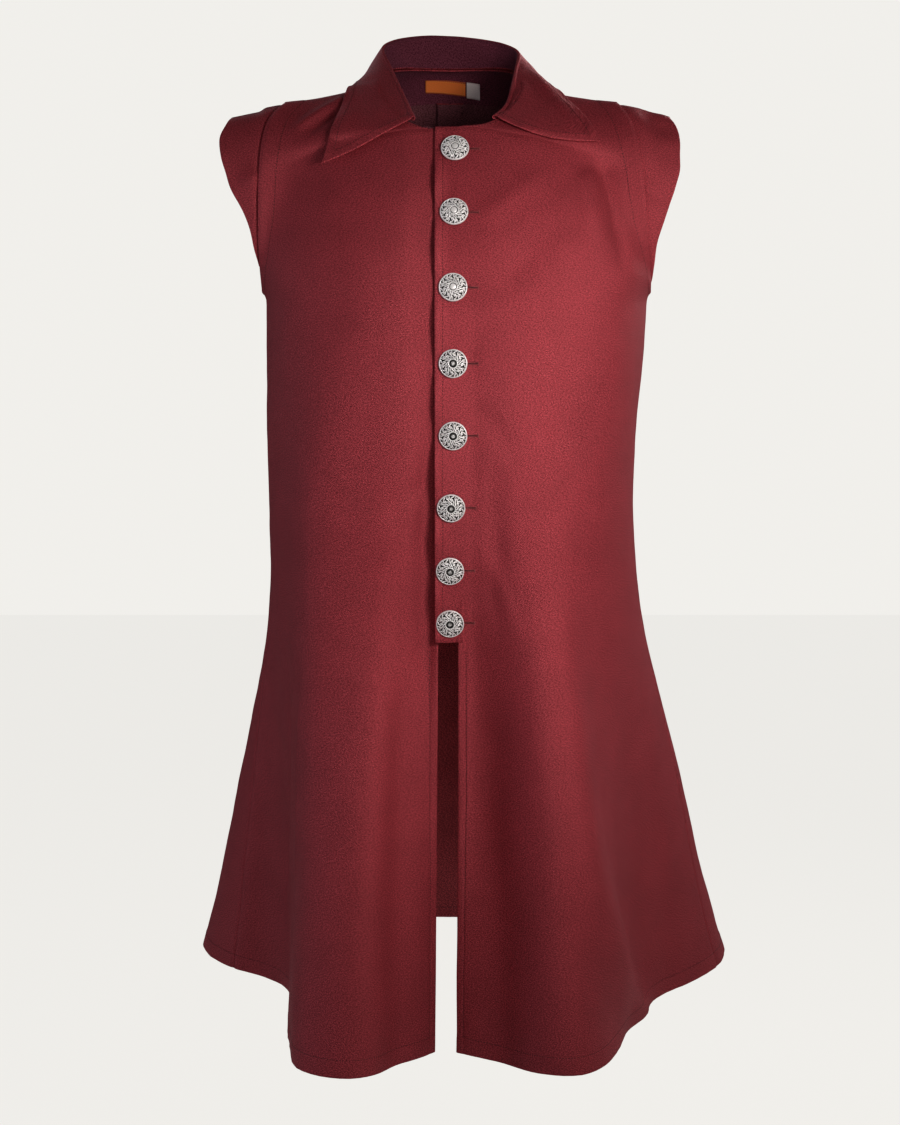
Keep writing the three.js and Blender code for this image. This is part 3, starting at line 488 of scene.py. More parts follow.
def turn_up_hem(grid, lift, start):
    """Raises the band that is turned up at the hem, with the waves of its stitching."""
    from_hem = (grid[..., 2] - grid[:1, :, 2])[:HEM_ROWS]
    lift[:HEM_ROWS] += ruled(from_hem, HEM_TURN, GROOVE["hem"])
    waves = puckered(run_of(grid[0]) + start, HEM_WAVE["height"])
    lift[:HEM_ROWS] += waves * bump(from_hem, HEM_WAVE["reach"])


def press_side(grid, lift, column):
    """Presses the side seam up to the armhole, and the armhole's facing above it."""
    from_side = distance_to(grid, grid[:, column][:, None])
    lift[: CHEST_ROW + 1] -= SEAM_DIP * bump(from_side[: CHEST_ROW + 1], SEAM_REACH)
    lift[CHEST_ROW:] += ruled(from_side[CHEST_ROW:], FACING, GROOVE["armhole"])
    return from_side


def press_top(grid, lift):
    lift[-SEAM_ROWS:] -= SEAM_DIP * bump(distance_to(grid, grid[-1:])[-SEAM_ROWS:], SEAM_REACH)


def inside_edge(grid, out, distance):
    """The line over the cloth that stays a distance inside the edge at its last column."""
    points, ways = [], []
    for line, way in zip(grid[:, ::-1], out[:, ::-1]):
        gap = np.linalg.norm(line - line[0], axis=1)
        k = int(np.argmax(gap > distance))
        share = (distance - gap[k - 1]) / (gap[k] - gap[k - 1])
        points.append(line[k - 1] + (line[k] - line[k - 1]) * share)
        ways.append(way[k])
    return np.array(points), np.array(ways)


def cells_of(grid):
    """The four corners of each cell of a grid, by number."""
    index = np.arange(grid.shape[0] * grid.shape[1]).reshape(grid.shape[:2])
    return np.stack([index[:-1, :-1], index[:-1, 1:], index[1:, 1:], index[1:, :-1]], axis=-1)


def sheet_to_touch(grid, keep=...):
    cells = cells_of(grid)[keep].reshape(-1, 4)
    return BVHTree.FromPolygons(grid.reshape(-1, 3).tolist(), cells.tolist())


def smooth_mesh(name, vertices, faces):
    """A smooth piece that rides with the garment."""
    mesh = bpy.data.meshes.new(name)
    mesh.from_pydata(vertices.tolist(), [], faces)
    mesh.polygons.foreach_set("use_smooth", np.ones(len(mesh.polygons), bool))
    made = stood(name, mesh)
    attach(made, "root")
    return made


EDGE_TURNS = (math.pi / 4, 0, -math.pi / 4)


def cloth_wall(name, grid, out, facing, keep=..., seam=None, depth=CLOTH, rim_reach=0.0006):
    """A wall of cloth: its outer face on the grid, its inner face a thickness in, and a rim
    that is rounded on free edges and square along seams. Its UV map is the place along the
    threads in metres."""
    cells = cells_of(grid)[keep].reshape(-1, 4)[:, ::facing]
    points, up = grid.reshape(-1, 3), out.reshape(-1, 3)
    size = len(points)
    edges = np.concatenate([cells[:, [k, (k + 1) % 4]] for k in range(4)])
    alone = ~np.isin(edges[:, 0] * size + edges[:, 1], edges[:, 1] * size + edges[:, 0])
    rim = edges[alone]

    beside = np.cross(points[rim[:, 1]] - points[rim[:, 0]], up[rim[:, 0]])
    beside /= np.maximum(np.linalg.norm(beside, axis=1, keepdims=True), 1e-9)
    away = np.zeros_like(points)
    for end in (0, 1):
        np.add.at(away, rim[:, end], beside)
    away /= np.maximum(np.linalg.norm(away, axis=1, keepdims=True), 1e-9)
    reach = np.full(size, rim_reach)
    if seam is not None:
        reach[seam.reshape(-1)] = 0
    around = np.unique(rim)
    middle = points - up * depth / 2
    bead = []
    for turn in EDGE_TURNS:
        rounded_out = away * (reach * math.cos(turn))[:, None] + up * (depth / 2 * math.sin(turn))
        bead.append((middle + rounded_out)[around])
    place = np.zeros(size, int)
    place[around] = np.arange(len(around))
    chains = [
        [end, *(2 * size + k * len(around) + place[end] for k in range(len(bead))), end + size]
        for end in rim.T
    ]
    strips = [
        np.stack([b, a, below_a, below_b], axis=1)
        for a, below_a, b, below_b in zip(chains[0], chains[0][1:], chains[1], chains[1][1:])
    ]
    faces = np.concatenate([cells, cells[:, ::-1] + size, *strips])
    # free rims take the third material: rubbed edges lightened further with a painted highlight
    free = np.where(reach[rim[:, 0]] * reach[rim[:, 1]] > 0, 2, 0)
    looks = np.concatenate([np.repeat((0, 1), len(cells)), np.tile(free, len(strips))])

    steps_u, steps_v = (np.linalg.norm(np.diff(grid, axis=axis), axis=2) for axis in (1, 0))
    u = np.pad(np.cumsum(steps_u, axis=1), ((0, 0), (1, 0)))
    v = np.pad(np.cumsum(steps_v, axis=0), ((1, 0), (0, 0)))
    weave = np.stack([u.reshape(-1), v.reshape(-1)], axis=1)
    weave = np.concatenate([weave, weave, *[weave[around]] * len(bead)])
    used, faces_used = np.unique(faces, return_inverse=True)
    vertices = np.concatenate([points, points - up * depth, *bead])
    made = smooth_mesh(name, vertices[used], faces_used.reshape(faces.shape).tolist())
    corner = np.empty(len(made.data.loops), int)
    made.data.loops.foreach_get("vertex_index", corner)
    layer = made.data.uv_layers.new(name="weave")
    layer.data.foreach_set("uv", weave[used][corner].astype(np.float32).reshape(-1))
    made.data.polygons.foreach_set("material_index", looks)
    return made


def finish_cloth(made, node, materials):
    """Gives a piece its outer, inner and edge materials, and sets it for its node."""
    for material in materials:
        made.data.materials.append(material)
    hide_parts(node)


BUTTON_COUNT = 8
LAP_LIFT = {"height": 0.0048, "reach": 0.008, "held": 0.019, "top": 0.02}
STITCH = (0.0032, 0.0021, 0.001, 0.0007)  # pitch, length, width and height
STITCH_SIDES = 6
STITCH_RINGS = ((-0.34, 0.8), (0, 1), (0.34, 0.8))  # place along a stitch, and its fatness there
STITCH_AIM = 0.0004
HEM_STITCH_START = 5


def stitch_form(size):
    """One stitch along X, pointed at both ends."""
    turns = np.arange(STITCH_SIDES) * 2 * math.pi / STITCH_SIDES
    rings = [
        (along, fat * math.cos(turn) / 2, fat * math.sin(turn) / 2)
        for along, fat in STITCH_RINGS for turn in turns
    ]
    points = np.array([(-0.5, 0, 0), *rings, (0.5, 0, 0)]) * size
    index = 1 + np.arange(len(rings)).reshape(len(STITCH_RINGS), STITCH_SIDES)
    after = np.roll(index, -1, axis=1)
    faces = [(0, b, a) for a, b in zip(index[0], after[0])]
    for ring_, next_ring, ring_after, next_after in zip(index, index[1:], after, after[1:]):
        for a, above, b, above_b in zip(ring_, next_ring, ring_after, next_after):
            faces += [(a, b, above_b), (a, above_b, above)]
    faces += [(len(points) - 1, a, b) for a, b in zip(index[-1], after[-1])]
    return points, np.array(faces)


def stitching(name, lines, material, size=STITCH):
    """Rows of stitches: each line is the points and the outward directions that it follows."""
    pitch, *size = size
    form, faces = stitch_form(size)
    stitches = []
    for points, out in lines:
        run = run_of(points)
        count = int(run[-1] // pitch)
        places = (np.arange(count) + 0.5) * run[-1] / count
        before, after = (at_places(points, run, places + aim) for aim in (-STITCH_AIM, STITCH_AIM))
        along = unit(after - before)
        side = unit(np.cross(at_places(out, run, places), along))
        turned = np.stack([along, side, np.cross(along, side)], axis=1)
        stitches.append(form @ turned + at_places(points, run, places)[:, None])
    stitches = np.concatenate(stitches)
    numbers = faces + (np.arange(len(stitches)) * len(form))[:, None, None]
    made = smooth_mesh(name, stitches.reshape(-1, 3), numbers.reshape(-1, 3).tolist())
    made.data.materials.append(material)
    return made


def front_edges(side):
    """A front with its folds, its turned and stitched edges and its seams pressed."""
    grid = bare[side]
    out = outward(grid, side)
    out[: CHEST_ROW + 1, -1] = side_direction(side, grid[: CHEST_ROW + 1, -1, 2])
    out[-1, LAP_CELLS:] = shoulder_direction(side)
    folds = [fold for fold in FRONT_FOLDS if fold[0][0][0] * side > 0]
    grid = slack(grid, out, laid(grid, folds))
    lift = np.zeros(grid.shape[:2])
    body = slice(LAP_CELLS, None)
    skirt, lapped = slice(0, SLIT_ROW), slice(SLIT_ROW, NECK_ROW + 1)
    neck = slice(NECK_ROW + 1, None)
    from_slit = distance_to(grid[:, body], grid[:, LAP_CELLS : LAP_CELLS + 1])
    from_lap = distance_to(grid, grid[:, :1])
    lift[lapped] += ruled(from_lap[lapped], STITCH_IN, GROOVE["edge"])
    if side > 0:
        rows = slice(SLIT_ROW + 1, NECK_ROW + 1)
        z = grid[rows, :, 2]
        corners = [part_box(f"button_{number}") for number in range(1, BUTTON_COUNT + 1)]
        heights = [sum(corner.z for corner in pair) / 2 for pair in corners]
        gap = np.min([abs(z - height) for height in heights], axis=0)
        free = (1 - bump(gap, LAP_LIFT["held"])) * np.clip((heights[0] - z) / LAP_LIFT["top"], 0, 1)
        lift[rows] += LAP_LIFT["height"] * free * bump(from_lap[rows], LAP_LIFT["reach"])
    for part in (skirt, neck):
        lift[part, body] += ruled(from_slit[part], STITCH_IN, GROOVE["edge"])
    below_neck = slice(0, NECK_ROW)
    waves = puckered(run_of(grid[below_neck, 0]), LAP_WAVE["height"])[:, None]
    beside = from_lap[below_neck]
    lift[below_neck] += waves * bump(beside, LAP_WAVE["reach"]) * (beside < LAP_WAVE["width"])
    turn_up_hem(grid, lift, side)
    from_side = press_side(grid, lift, -1)
    lift[CHEST_ROW:] -= ARMHOLE_DIP * bump(from_side[CHEST_ROW:], SEAM_REACH)
    press_top(grid, lift)
    return raised(grid, out, lift), out


TWILL_COLOURS = ((0.24, 0.034, 0.044), (0.055, 0.005, 0.011))
INSIDE_PAINTED_LIGHT_COLOURS = ((0.42, 0.09, 0.105), (0.17, 0.032, 0.04))  # the unbrushed wrong side, painted lighter than the face to stand in for light inside the garment
INSIDE_PAINTED_SHADE = {"from": -0.5, "to": -0.18, "colour": (0.33, 0.6, 0.62)}  # painted shade: the wrong side darkened toward the neck
# painted shade: a darkened copy of the twill for the inside of the neck
NECK_PAINTED_SHADE_COLOURS = ((0.115, 0.032, 0.05), (0.046, 0.014, 0.024))
EDGE_WEAR_AND_HIGHLIGHT_COLOURS = ((0.28, 0.042, 0.052), (0.1, 0.012, 0.02))  # rubbed where the cloth turns, and lighter again as a painted highlight along the rolled edge
TWILL_RIB = 0.0013
TWILL_SLANT = (0.82, 0.57, 0)
RIB_WANDER = {"noise": (60, 1), "turns": 2.5}  # noise by scale, detail and roughness
THREAD_STRETCH = {"Rotation": (0, 0, 0.6), "Scale": (600, 880, 1)}
THREADS = {"noise": (1, 3, 0.85), "between": (0.4, 0.6), "high": 0.8, "rough": (0.62, 0.48)}
MOTTLE = {"noise": (22, 4, 0.55), "between": (0.3, 0.7), "tone": (0.9, 1.1)}
RIB_TONE = (0.8, 1.12)
TWILL_RELIEF = (0.5, 0.00035)
FLECK_BRIGHT = 2.3
NAP = {"Specular IOR Level": 0.5, "Specular Tint": (1, 0.25, 0.28, 1),
       "Sheen Weight": 0.06, "Sheen Roughness": 0.4, "Sheen Tint": (0.9, 0.5, 0.6, 1)}
BRUSHED_GLOSS, PLAIN_GLOSS = 2.6, 1.4
THREAD_COLOUR = (0.1, 0.012, 0.018)
TWIST = {"noise": (1400, 2), "dark": 0.6, "light": 1.5, "relief": (0.4, 0.0002)}


def node_of(tree, kind, **settings):
    """A shader node with its settings, and values for its inputs by name or number."""
    made = tree.nodes.new(kind)
    inputs = settings.pop("inputs", {})
    for key, value in settings.items():
        setattr(made, key, value)
    for key, value in inputs.items():
        if isinstance(value, bpy.types.NodeSocket):
            tree.links.new(value, made.inputs[key])
        else:
            made.inputs[key].default_value = value
    return made


def maths(tree, operation, *values):
    inputs = dict(enumerate(values))
    return node_of(tree, "ShaderNodeMath", operation=operation, inputs=inputs).outputs[0]


def ranged(tree, value, given=(0, 1), wanted=(0, 1)):
    """A value carried from one range to another, and held at its ends."""
    ends = zip(("From Min", "From Max", "To Min", "To Max"), (*given, *wanted))
    return node_of(tree, "ShaderNodeMapRange", inputs={"Value": value, **dict(ends)}).outputs[0]


def speckle(tree, place, scale, detail, rough=0.5):
    inputs = {"Vector": place, "Scale": scale, "Detail": detail, "Roughness": rough}
    return node_of(tree, "ShaderNodeTexNoise", inputs=inputs).outputs["Fac"]


def blended(tree, share, first, second, way="MIX"):
    """One colour where the share is 0, and the other where it is 1."""
    first, second = ((*c, 1) if isinstance(c, tuple) else c for c in (first, second))
    inputs = {"Factor": share, 6: first, 7: second}
    mix = node_of(tree, "ShaderNodeMix", data_type="RGBA", blend_type=way, inputs=inputs)
    return mix.outputs[2]


def vector_maths(tree, operation, inputs):
    return node_of(tree, "ShaderNodeVectorMath", operation=operation, inputs=inputs).outputs


def effect(name, inputs, outputs):
    """An empty shader node group with named inputs and outputs."""
    group = bpy.data.node_groups.new(name, "ShaderNodeTree")
    for way, sockets in (("INPUT", inputs), ("OUTPUT", outputs)):
        for title, kind in sockets.items():
            group.interface.new_socket(title, in_out=way, socket_type=f"NodeSocket{kind}")
    given, result = group.nodes.new("NodeGroupInput"), group.nodes.new("NodeGroupOutput")
    return group, given.outputs, result.inputs


def new_material(name, **finish):
    """A material whose even values are set on its shader's own sockets."""
    material = bpy.data.materials.new(name)
    material.use_nodes = True
    shader = material.node_tree.nodes["Principled BSDF"]
    for socket, value in finish.items():
        shader.inputs[socket.replace("_", " ")].default_value = value
    return material, material.node_tree, shader.inputs


def relief(tree, shader, height, strength, depth):
    inputs = {"Height": height, "Strength": strength, "Distance": depth}
    tree.links.new(node_of(tree, "ShaderNodeBump", inputs=inputs).outputs[0], shader["Normal"])


def twill_effect():
    """Diagonal ribs of a twill: each rib's roundness, and the odd paler or darker thread."""
    group, given, result = effect(
        "twill_weave", {"Place": "Vector", "Rib": "Float"},
        {"Rib height": "Float", "Thread": "Float", "Mottle": "Float"},
    )
    place = given["Place"]
    slant = vector_maths(group, "DOT_PRODUCT", {0: place, 1: TWILL_SLANT})["Value"]
    turns = maths(group, "DIVIDE", slant, given["Rib"])
    wander = speckle(group, place, *RIB_WANDER["noise"])
    turns = maths(group, "MULTIPLY_ADD", wander, RIB_WANDER["turns"], turns)
    wave = maths(group, "SINE", maths(group, "MULTIPLY", turns, 2 * math.pi))
    group.links.new(maths(group, "MULTIPLY_ADD", wave, 0.5, 0.5), result["Rib height"])
    stretched = node_of(group, "ShaderNodeMapping", inputs={"Vector": place, **THREAD_STRETCH})
    threads = speckle(group, stretched.outputs[0], *THREADS["noise"])
    group.links.new(ranged(group, threads, THREADS["between"]), result["Thread"])
    group.links.new(speckle(group, place, *MOTTLE["noise"]), result["Mottle"])
    return group


def twist_effect():
    """Sewing thread whose twist shows: its two tones and its height."""
    group, given, result = effect(
        "thread_twist", {"Place": "Vector", "Dark": "Color", "Light": "Color"},
        {"Colour": "Color", "Twist": "Float"},
    )
    twist = speckle(group, given["Place"], *TWIST["noise"])
    group.links.new(blended(group, twist, given["Dark"], given["Light"]), result["Colour"])
    group.links.new(twist, result["Twist"])
    return group


twill_weave, thread_twist = twill_effect(), twist_effect()


def twill(name, colour, shade, gloss=BRUSHED_GLOSS):
    """Wine-red cotton twill, dyed a little unevenly, with a short soft nap."""
    material, tree, shader = new_material(name, IOR=gloss, **NAP)
    place = node_of(tree, "ShaderNodeUVMap", uv_map="weave").outputs[0]
    inputs = {"Place": place, "Rib": TWILL_RIB}
    weave = node_of(tree, "ShaderNodeGroup", node_tree=twill_weave, inputs=inputs).outputs
    thread = weave["Thread"]
    fleck = blended(tree, thread, shade, tuple(min(c * FLECK_BRIGHT, 1) for c in colour))
    dye = ranged(tree, weave["Mottle"], MOTTLE["between"], MOTTLE["tone"])
    rib = ranged(tree, weave["Rib height"], (0, 1), RIB_TONE)
    tone = maths(tree, "MULTIPLY", dye, rib)
    tree.links.new(vector_maths(tree, "SCALE", {0: fleck, "Scale": tone})[0], shader["Base Color"])
    height = maths(tree, "MULTIPLY_ADD", thread, THREADS["high"], weave["Rib height"])
    relief(tree, shader, height, *TWILL_RELIEF)
    tree.links.new(ranged(tree, thread, (0, 1), THREADS["rough"]), shader["Roughness"])
    return material


def thread_material(name, colour):
    """Stitching thread, dyed to match, with its twist showing."""
    material, tree, shader = new_material(name, Roughness=0.6, Sheen_Weight=0.1)
    inputs = {
        "Place": node_of(tree, "ShaderNodeTexCoord").outputs["Object"],
        "Dark": (*(c * TWIST["dark"] for c in colour), 1),
        "Light": (*(c * TWIST["light"] for c in colour), 1),
    }
    thread = node_of(tree, "ShaderNodeGroup", node_tree=thread_twist, inputs=inputs).outputs
    tree.links.new(thread["Colour"], shader["Base Color"])
    relief(tree, shader, thread["Twist"], *TWIST["relief"])
    return material


def painted_shade_toward_neck(material):
    """Paints shade onto the wrong side, darker toward the neck."""
    tree = material.node_tree
    base = tree.nodes["Principled BSDF"].inputs["Base Color"]
    place = node_of(tree, "ShaderNodeTexCoord").outputs["Object"]
    z = node_of(tree, "ShaderNodeSeparateXYZ", inputs={0: place}).outputs["Z"]
    neck_shade_share = ranged(tree, z, (INSIDE_PAINTED_SHADE["from"], INSIDE_PAINTED_SHADE["to"]))
    dyed = base.links[0].from_socket
    tree.links.new(blended(tree, neck_shade_share, dyed, INSIDE_PAINTED_SHADE["colour"], "MULTIPLY"), base)


cloth = twill("wine_twill", *TWILL_COLOURS)
# the wrong side: painted light lower down, painted shade toward the neck
wrong_side = twill("wine_twill_inside", *INSIDE_PAINTED_LIGHT_COLOURS, PLAIN_GLOSS)
neck_painted_shade = twill("wine_twill_neck_painted_shade", *NECK_PAINTED_SHADE_COLOURS, PLAIN_GLOSS)
rubbed_and_highlit_edge = twill("wine_twill_edge_and_highlight", *EDGE_WEAR_AND_HIGHLIGHT_COLOURS)
painted_shade_toward_neck(wrong_side)
thread = thread_material("wine_thread", THREAD_COLOUR)

fronts, front_out, front_pieces = {}, {}, {}
stitch_column, hem_row = LAP_CELLS + NEAR_EDGE.index(STITCH_IN), NEAR_HEM.index(HEM_TURN)
armhole = slice(CHEST_ROW + 2, -1)
for side, word in ((-1, "right"), (1, "left")):
    grid, out = front_edges(side)
    fronts[side], front_out[side] = grid, out
    seams = np.zeros(grid.shape[:2], bool)
    seams[: CHEST_ROW + 1, -1] = True
    seams[-1, LAP_CELLS:] = True
    made = cloth_wall(f"front_{word}_cloth", grid, out, side, front_keep(grid), seams)
    finish_cloth(made, f"front_{word}", (cloth, wrong_side, rubbed_and_highlit_edge))
    paths = [
        (slice(hem_row, SLIT_ROW - 1), stitch_column),
        (hem_row, slice(LAP_CELLS + HEM_STITCH_START, -1)),
        (slice(NECK_ROW + 1, None), stitch_column),
        (slice(SLIT_ROW + 1, NECK_ROW - 1), stitch_column - LAP_CELLS),
    ]
    lines = [(grid[path], out[path]) for path in paths]
    lines.insert(3, inside_edge(grid[armhole], out[armhole], FACING))
    sewn = stitching(f"front_{word}_stitching", lines[: 5 if side > 0 else 4], thread)
    front_pieces[word] = (made, sewn)


# ---- Back ----
# One width of the same twill, with an inverted box pleat down the middle that opens toward
# the hem. It is sewn into the yoke above and to the fronts at the sides.
CENTRE_BACK = {"z": (-0.205, -0.12, -0.05, 0.007), "y": (0.134, 0.134, 0.126, 0.11)}
YOKE_CENTRE = {"y": 0.11, "z": 0.007}
YOKE_MIDDLE = 0.01
NECK_PLACE, CENTRE_PLACE, WHOLE_YOKE = 5, 9, 20
SHOULDER_KNOTS, NECK_KNOTS = 61, 49
LINE_STEPS = 240
PLEAT = {"half": 0.013, "gap": 0.0015, "first": 0.0035, "second": 0.0043}
PLEAT_OPENS = {"half": 0.024, "gap": 0.014, "first": 0.01, "second": 0.02, "curve": 1.6}
PLEAT_DROP = 0.0008
PLEAT_STEPS = {"outer": 5, "under": 6, "across": 8, "turn": 7}
BACK_CELLS, BACK_STEPS, BACK_RUN = 58, 44, 0.2
near_top = 1 - np.array(NEAR_SEAM[::-1]) / BACK_RUN
BACK_RISES = np.unique(np.concatenate([np.linspace(0, 1, BACK_STEPS)[:-1], near_top]))
BACK_HEM_START = 5
BACK_FOLDS = [  # a line by x and z, width, height, and where it rises and dies away
    ([(-0.08, -0.36), (-0.093, -0.58), (-0.108, -0.8), (-0.118, -0.98)], 0.024, 0.011, (0.4, 0)),
    ([(0.086, -0.33), (0.1, -0.58), (0.118, -0.78), (0.13, -0.98)], 0.026, 0.012, (0.4, 0)),
    ([(-0.045, -0.3), (-0.05, -0.55), (-0.062, -0.98)], 0.02, -0.008, (0.35, 0)),
    ([(0.045, -0.4), (0.056, -0.7), (0.066, -0.98)], 0.02, -0.009, (0.4, 0)),
    ([(-0.145, -0.45), (-0.155, -0.75), (-0.168, -0.97)], 0.015, -0.006, (0.35, 0)),
    ([(0.158, -0.42), (0.17, -0.7), (0.19, -0.96)], 0.014, -0.005, (0.35, 0)),
    ([(-0.185, -0.6), (-0.205, -0.8), (-0.222, -0.96)], 0.016, 0.006, (0.4, 0)),
    ([(0.165, -0.25), (0.125, -0.2), (0.07, -0.15)], 0.013, 0.0035, (0.3, 0.6)),
    ([(-0.165, -0.27), (-0.12, -0.21), (-0.06, -0.17)], 0.013, 0.0035, (0.3, 0.6)),
    ([(0.16, -0.36), (0.11, -0.32), (0.05, -0.3)], 0.018, -0.002, (0.45, 0.5)),
    ([(-0.155, -0.34), (-0.1, -0.31), (-0.05, -0.3)], 0.018, -0.002, (0.45, 0.5)),
    ([(-0.135, -0.1), (-0.1, -0.075), (-0.05, -0.07)], 0.01, 0.003, (0.2, 0.5)),
    ([(0.12, -0.06), (0.09, -0.045), (0.045, -0.05)], 0.01, 0.003, (0.3, 0.4)),
]


def pleat_size(z, name):
    below = (YOKE_CENTRE["z"] - z) / (YOKE_CENTRE["z"] - HEM_Z)
    return PLEAT[name] + PLEAT_OPENS[name] * np.clip(below, 0, 1) ** PLEAT_OPENS["curve"]


def yoke_top(side, places):
    """The yoke's upper edge: place 0 is the shoulder's tip, then the neck point, and last a
    place just short of the centre back."""
    shoulder = shoulder_seam(side, np.linspace(1, 0, SHOULDER_KNOTS))
    neck = neck_line(side, NECK_POINT_AT, 6)
    neck = at_share(neck[abs(neck[:, 0]) > YOKE_MIDDLE], np.linspace(0, 1, NECK_KNOTS))
    outer = np.linspace(0, NECK_PLACE, SHOULDER_KNOTS)
    inner = np.linspace(NECK_PLACE, CENTRE_PLACE, NECK_KNOTS)[1:]
    return at_places(np.vstack([shoulder, neck[1:]]), np.concatenate([outer, inner]), places)


def yoke_seam(side, out_shares):
    """The yoke's lower seam, a flat arch from the pleat, share 0, to the armhole, share 1."""
    end = armhole_line(side, YOKE_END_AT, UNDERARM_AT)[0]
    out = PLEAT["half"] / abs(end[0]) * (1 - out_shares) + out_shares
    round_ = np.maximum(1 - out**ROUNDNESS, 0) ** (1 / ROUNDNESS)
    y = end[1] + (YOKE_CENTRE["y"] - end[1]) * round_
    z = YOKE_CENTRE["z"] + (end[2] - YOKE_CENTRE["z"]) * out**2
    return np.stack([end[0] * out, y, z], axis=1)


def back_half(side):
    """Half of the back from the pleat to the side seam and the armhole."""
    hem = hem_line(*BACK_HEM[side])
    spacing = stations((0, 0.003), NEAR_SEAM, BACK_CELLS)
    rows = []
    for z, edge in zip(HEIGHTS, pleat_size(HEIGHTS, "half")):
        quarter = ring(z, side, "back", side * edge)
        rows.append(skirt_row(z, quarter, hem[abs(hem[:, 0]) > edge], spacing))
    lower = rows.pop()
    shares = run_of(lower) / run_of(lower)[-1]
    z = CHEST_Z + (YOKE_CENTRE["z"] - CHEST_Z) * BACK_RISES
    y = eased(CENTRE_BACK["z"], CENTRE_BACK["y"], z)
    centre = np.stack([side * pleat_size(z, "half"), y, z], axis=1)
    end = at_share(armhole_line(side, YOKE_END_AT, UNDERARM_AT)[::-1], BACK_RISES)
    upper = at_share(yoke_seam(side, np.linspace(0, 1, 121)), shares)
    centre[0], end[0], centre[-1] = lower[0], lower[-1], upper[0]
    return np.concatenate([np.array(rows), patch(lower, upper, centre, end, shares, BACK_RISES)])


def pleat_columns(right, left):
    """The pleat's folds between the two halves: out to its meeting edge, round and back
    beneath, and round again into the part that lies across the middle."""
    centre = (right + left) / 2
    half, gap, first, second = (pleat_size(centre[2], name) for name in PLEAT)
    near, far = first / 2, (second - first) / 2
    turn = np.linspace(0, math.pi, PLEAT_STEPS["turn"])
    x, y = [], []
    for name, start, end, radius, depth in (
        ("outer", half, gap + near, near, 0),
        ("under", gap + near, half - far, far, first),
    ):
        way = math.copysign(1, start - end)
        flat = np.linspace(start, end, PLEAT_STEPS[name])[1:-1]
        x += [*flat, *(end - way * radius * np.sin(turn))]
        y += [*(depth + flat * 0), *(depth + radius * (1 - np.cos(turn)))]
    flat = np.linspace(half - far, 0, PLEAT_STEPS["across"])[1:]
    x, y = np.array([*x, *flat]), np.array([*y, *(second + flat * 0)])
    z = centre[2] - PLEAT_DROP * y / second
    fold = lambda side: np.stack([side * x, centre[1] - y, z], axis=1)
    return np.vstack([fold(-1), fold(1)[::-1][1:]])


def back_grid():
    rows = []
    for right, left in zip(back_half(-1), back_half(1)):
        rows.append(np.vstack([right[::-1], pleat_columns(right[0], left[0]), left]))
    return np.stack(rows)


def gap_to(points, line):
    """Each point's distance from a line."""
    near = np.full(points.shape[:2], np.inf)
    for place in at_share(line, np.linspace(0, 1, LINE_STEPS)):
        near = np.minimum(near, ((points - place) ** 2).sum(axis=2))
    return np.sqrt(near)


grid = back_grid()
out = outward(grid, -1)
for column, side in ((0, -1), (-1, 1)):
    out[: CHEST_ROW + 1, column] = side_direction(side, grid[: CHEST_ROW + 1, column, 2])
back_folds = laid(grid, BACK_FOLDS)
grid = slack(grid, out, back_folds)
lift = np.zeros(grid.shape[:2])
turn_up_hem(grid, lift, BACK_HEM_START)
for column in (0, -1):
    press_side(grid, lift, column)
press_top(grid, lift)
grid = raised(grid, out, lift)
back, back_out = grid, out

seams = np.zeros(grid.shape[:2], bool)
seams[: CHEST_ROW + 1, [0, -1]] = True
seams[-1] = True
back_cloth = cloth_wall("back_cloth", grid, out, -1, seam=seams)
finish_cloth(back_cloth, "back", (cloth, wrong_side, rubbed_and_highlit_edge))
inside = hem_row - 2
lines = [(grid[hem_row], out[hem_row]), (grid[inside] - out[inside] * CLOTH, -out[inside])]
for way in (1, -1):
    lines.append(inside_edge(grid[armhole, ::way], out[armhole, ::way], FACING))
sewn = stitching("back_stitching", lines, thread)


# ---- Yoke ----
# A shaped piece over the back of the shoulders, sewn to the fronts, the back and the collar.
# It rounds up a little between the shoulder blades and the seams.
YOKE_RISE = {"height": 0.009, "fade": 5}
YOKE_END_FADE = 6
YOKE_STITCH_IN = 0.006
YOKE_ROWS = np.concatenate([(0, 0.01, 0.03), np.linspace(0.06, 0.94, 26), (0.97, 0.99, 1)])
YOKE_PLACES = np.unique([*np.linspace(0, CENTRE_PLACE, 84), 0.03, 0.09, 8.95])
YOKE_GAP = 7


def yoke_grid():
    def across(line):
        right, left = line(-1), line(1)[::-1]
        middle = at_share(np.stack([right[-1], left[0]]), np.linspace(0, 1, YOKE_GAP))[1:-1]
        return np.vstack([right, middle, left])

    def seam(side):
        x = yoke_top(side, YOKE_PLACES)[:, 0]
        return yoke_seam(side, (x - x[-1]) / (x[0] - x[-1]))

    lower, upper = across(seam), across(lambda side: yoke_top(side, YOKE_PLACES))
    right, left = YOKE_PLACES, WHOLE_YOKE - YOKE_PLACES[::-1]
    places = np.concatenate([right, np.linspace(right[-1], left[0], YOKE_GAP)[1:-1], left])
    t, s = YOKE_ROWS[:, None, None], places[None, :, None] / WHOLE_YOKE
    grid = lower[None] * (1 - t) + upper[None] * t
    for side, weight in ((-1, (1 - s) ** YOKE_END_FADE), (1, s**YOKE_END_FADE)):
        edge = at_share(armhole_line(side, SHOULDER_TIP_AT, YOKE_END_AT)[::-1], YOKE_ROWS)
        bulge = edge - (edge[0] * (1 - YOKE_ROWS[:, None]) + edge[-1] * YOKE_ROWS[:, None])
        grid = grid + bulge[:, None] * weight
    rise = YOKE_RISE["height"] * np.sin(t * math.pi) * np.sin(s * math.pi) ** YOKE_RISE["fade"]
    return grid + rise * (0, 0, 1)


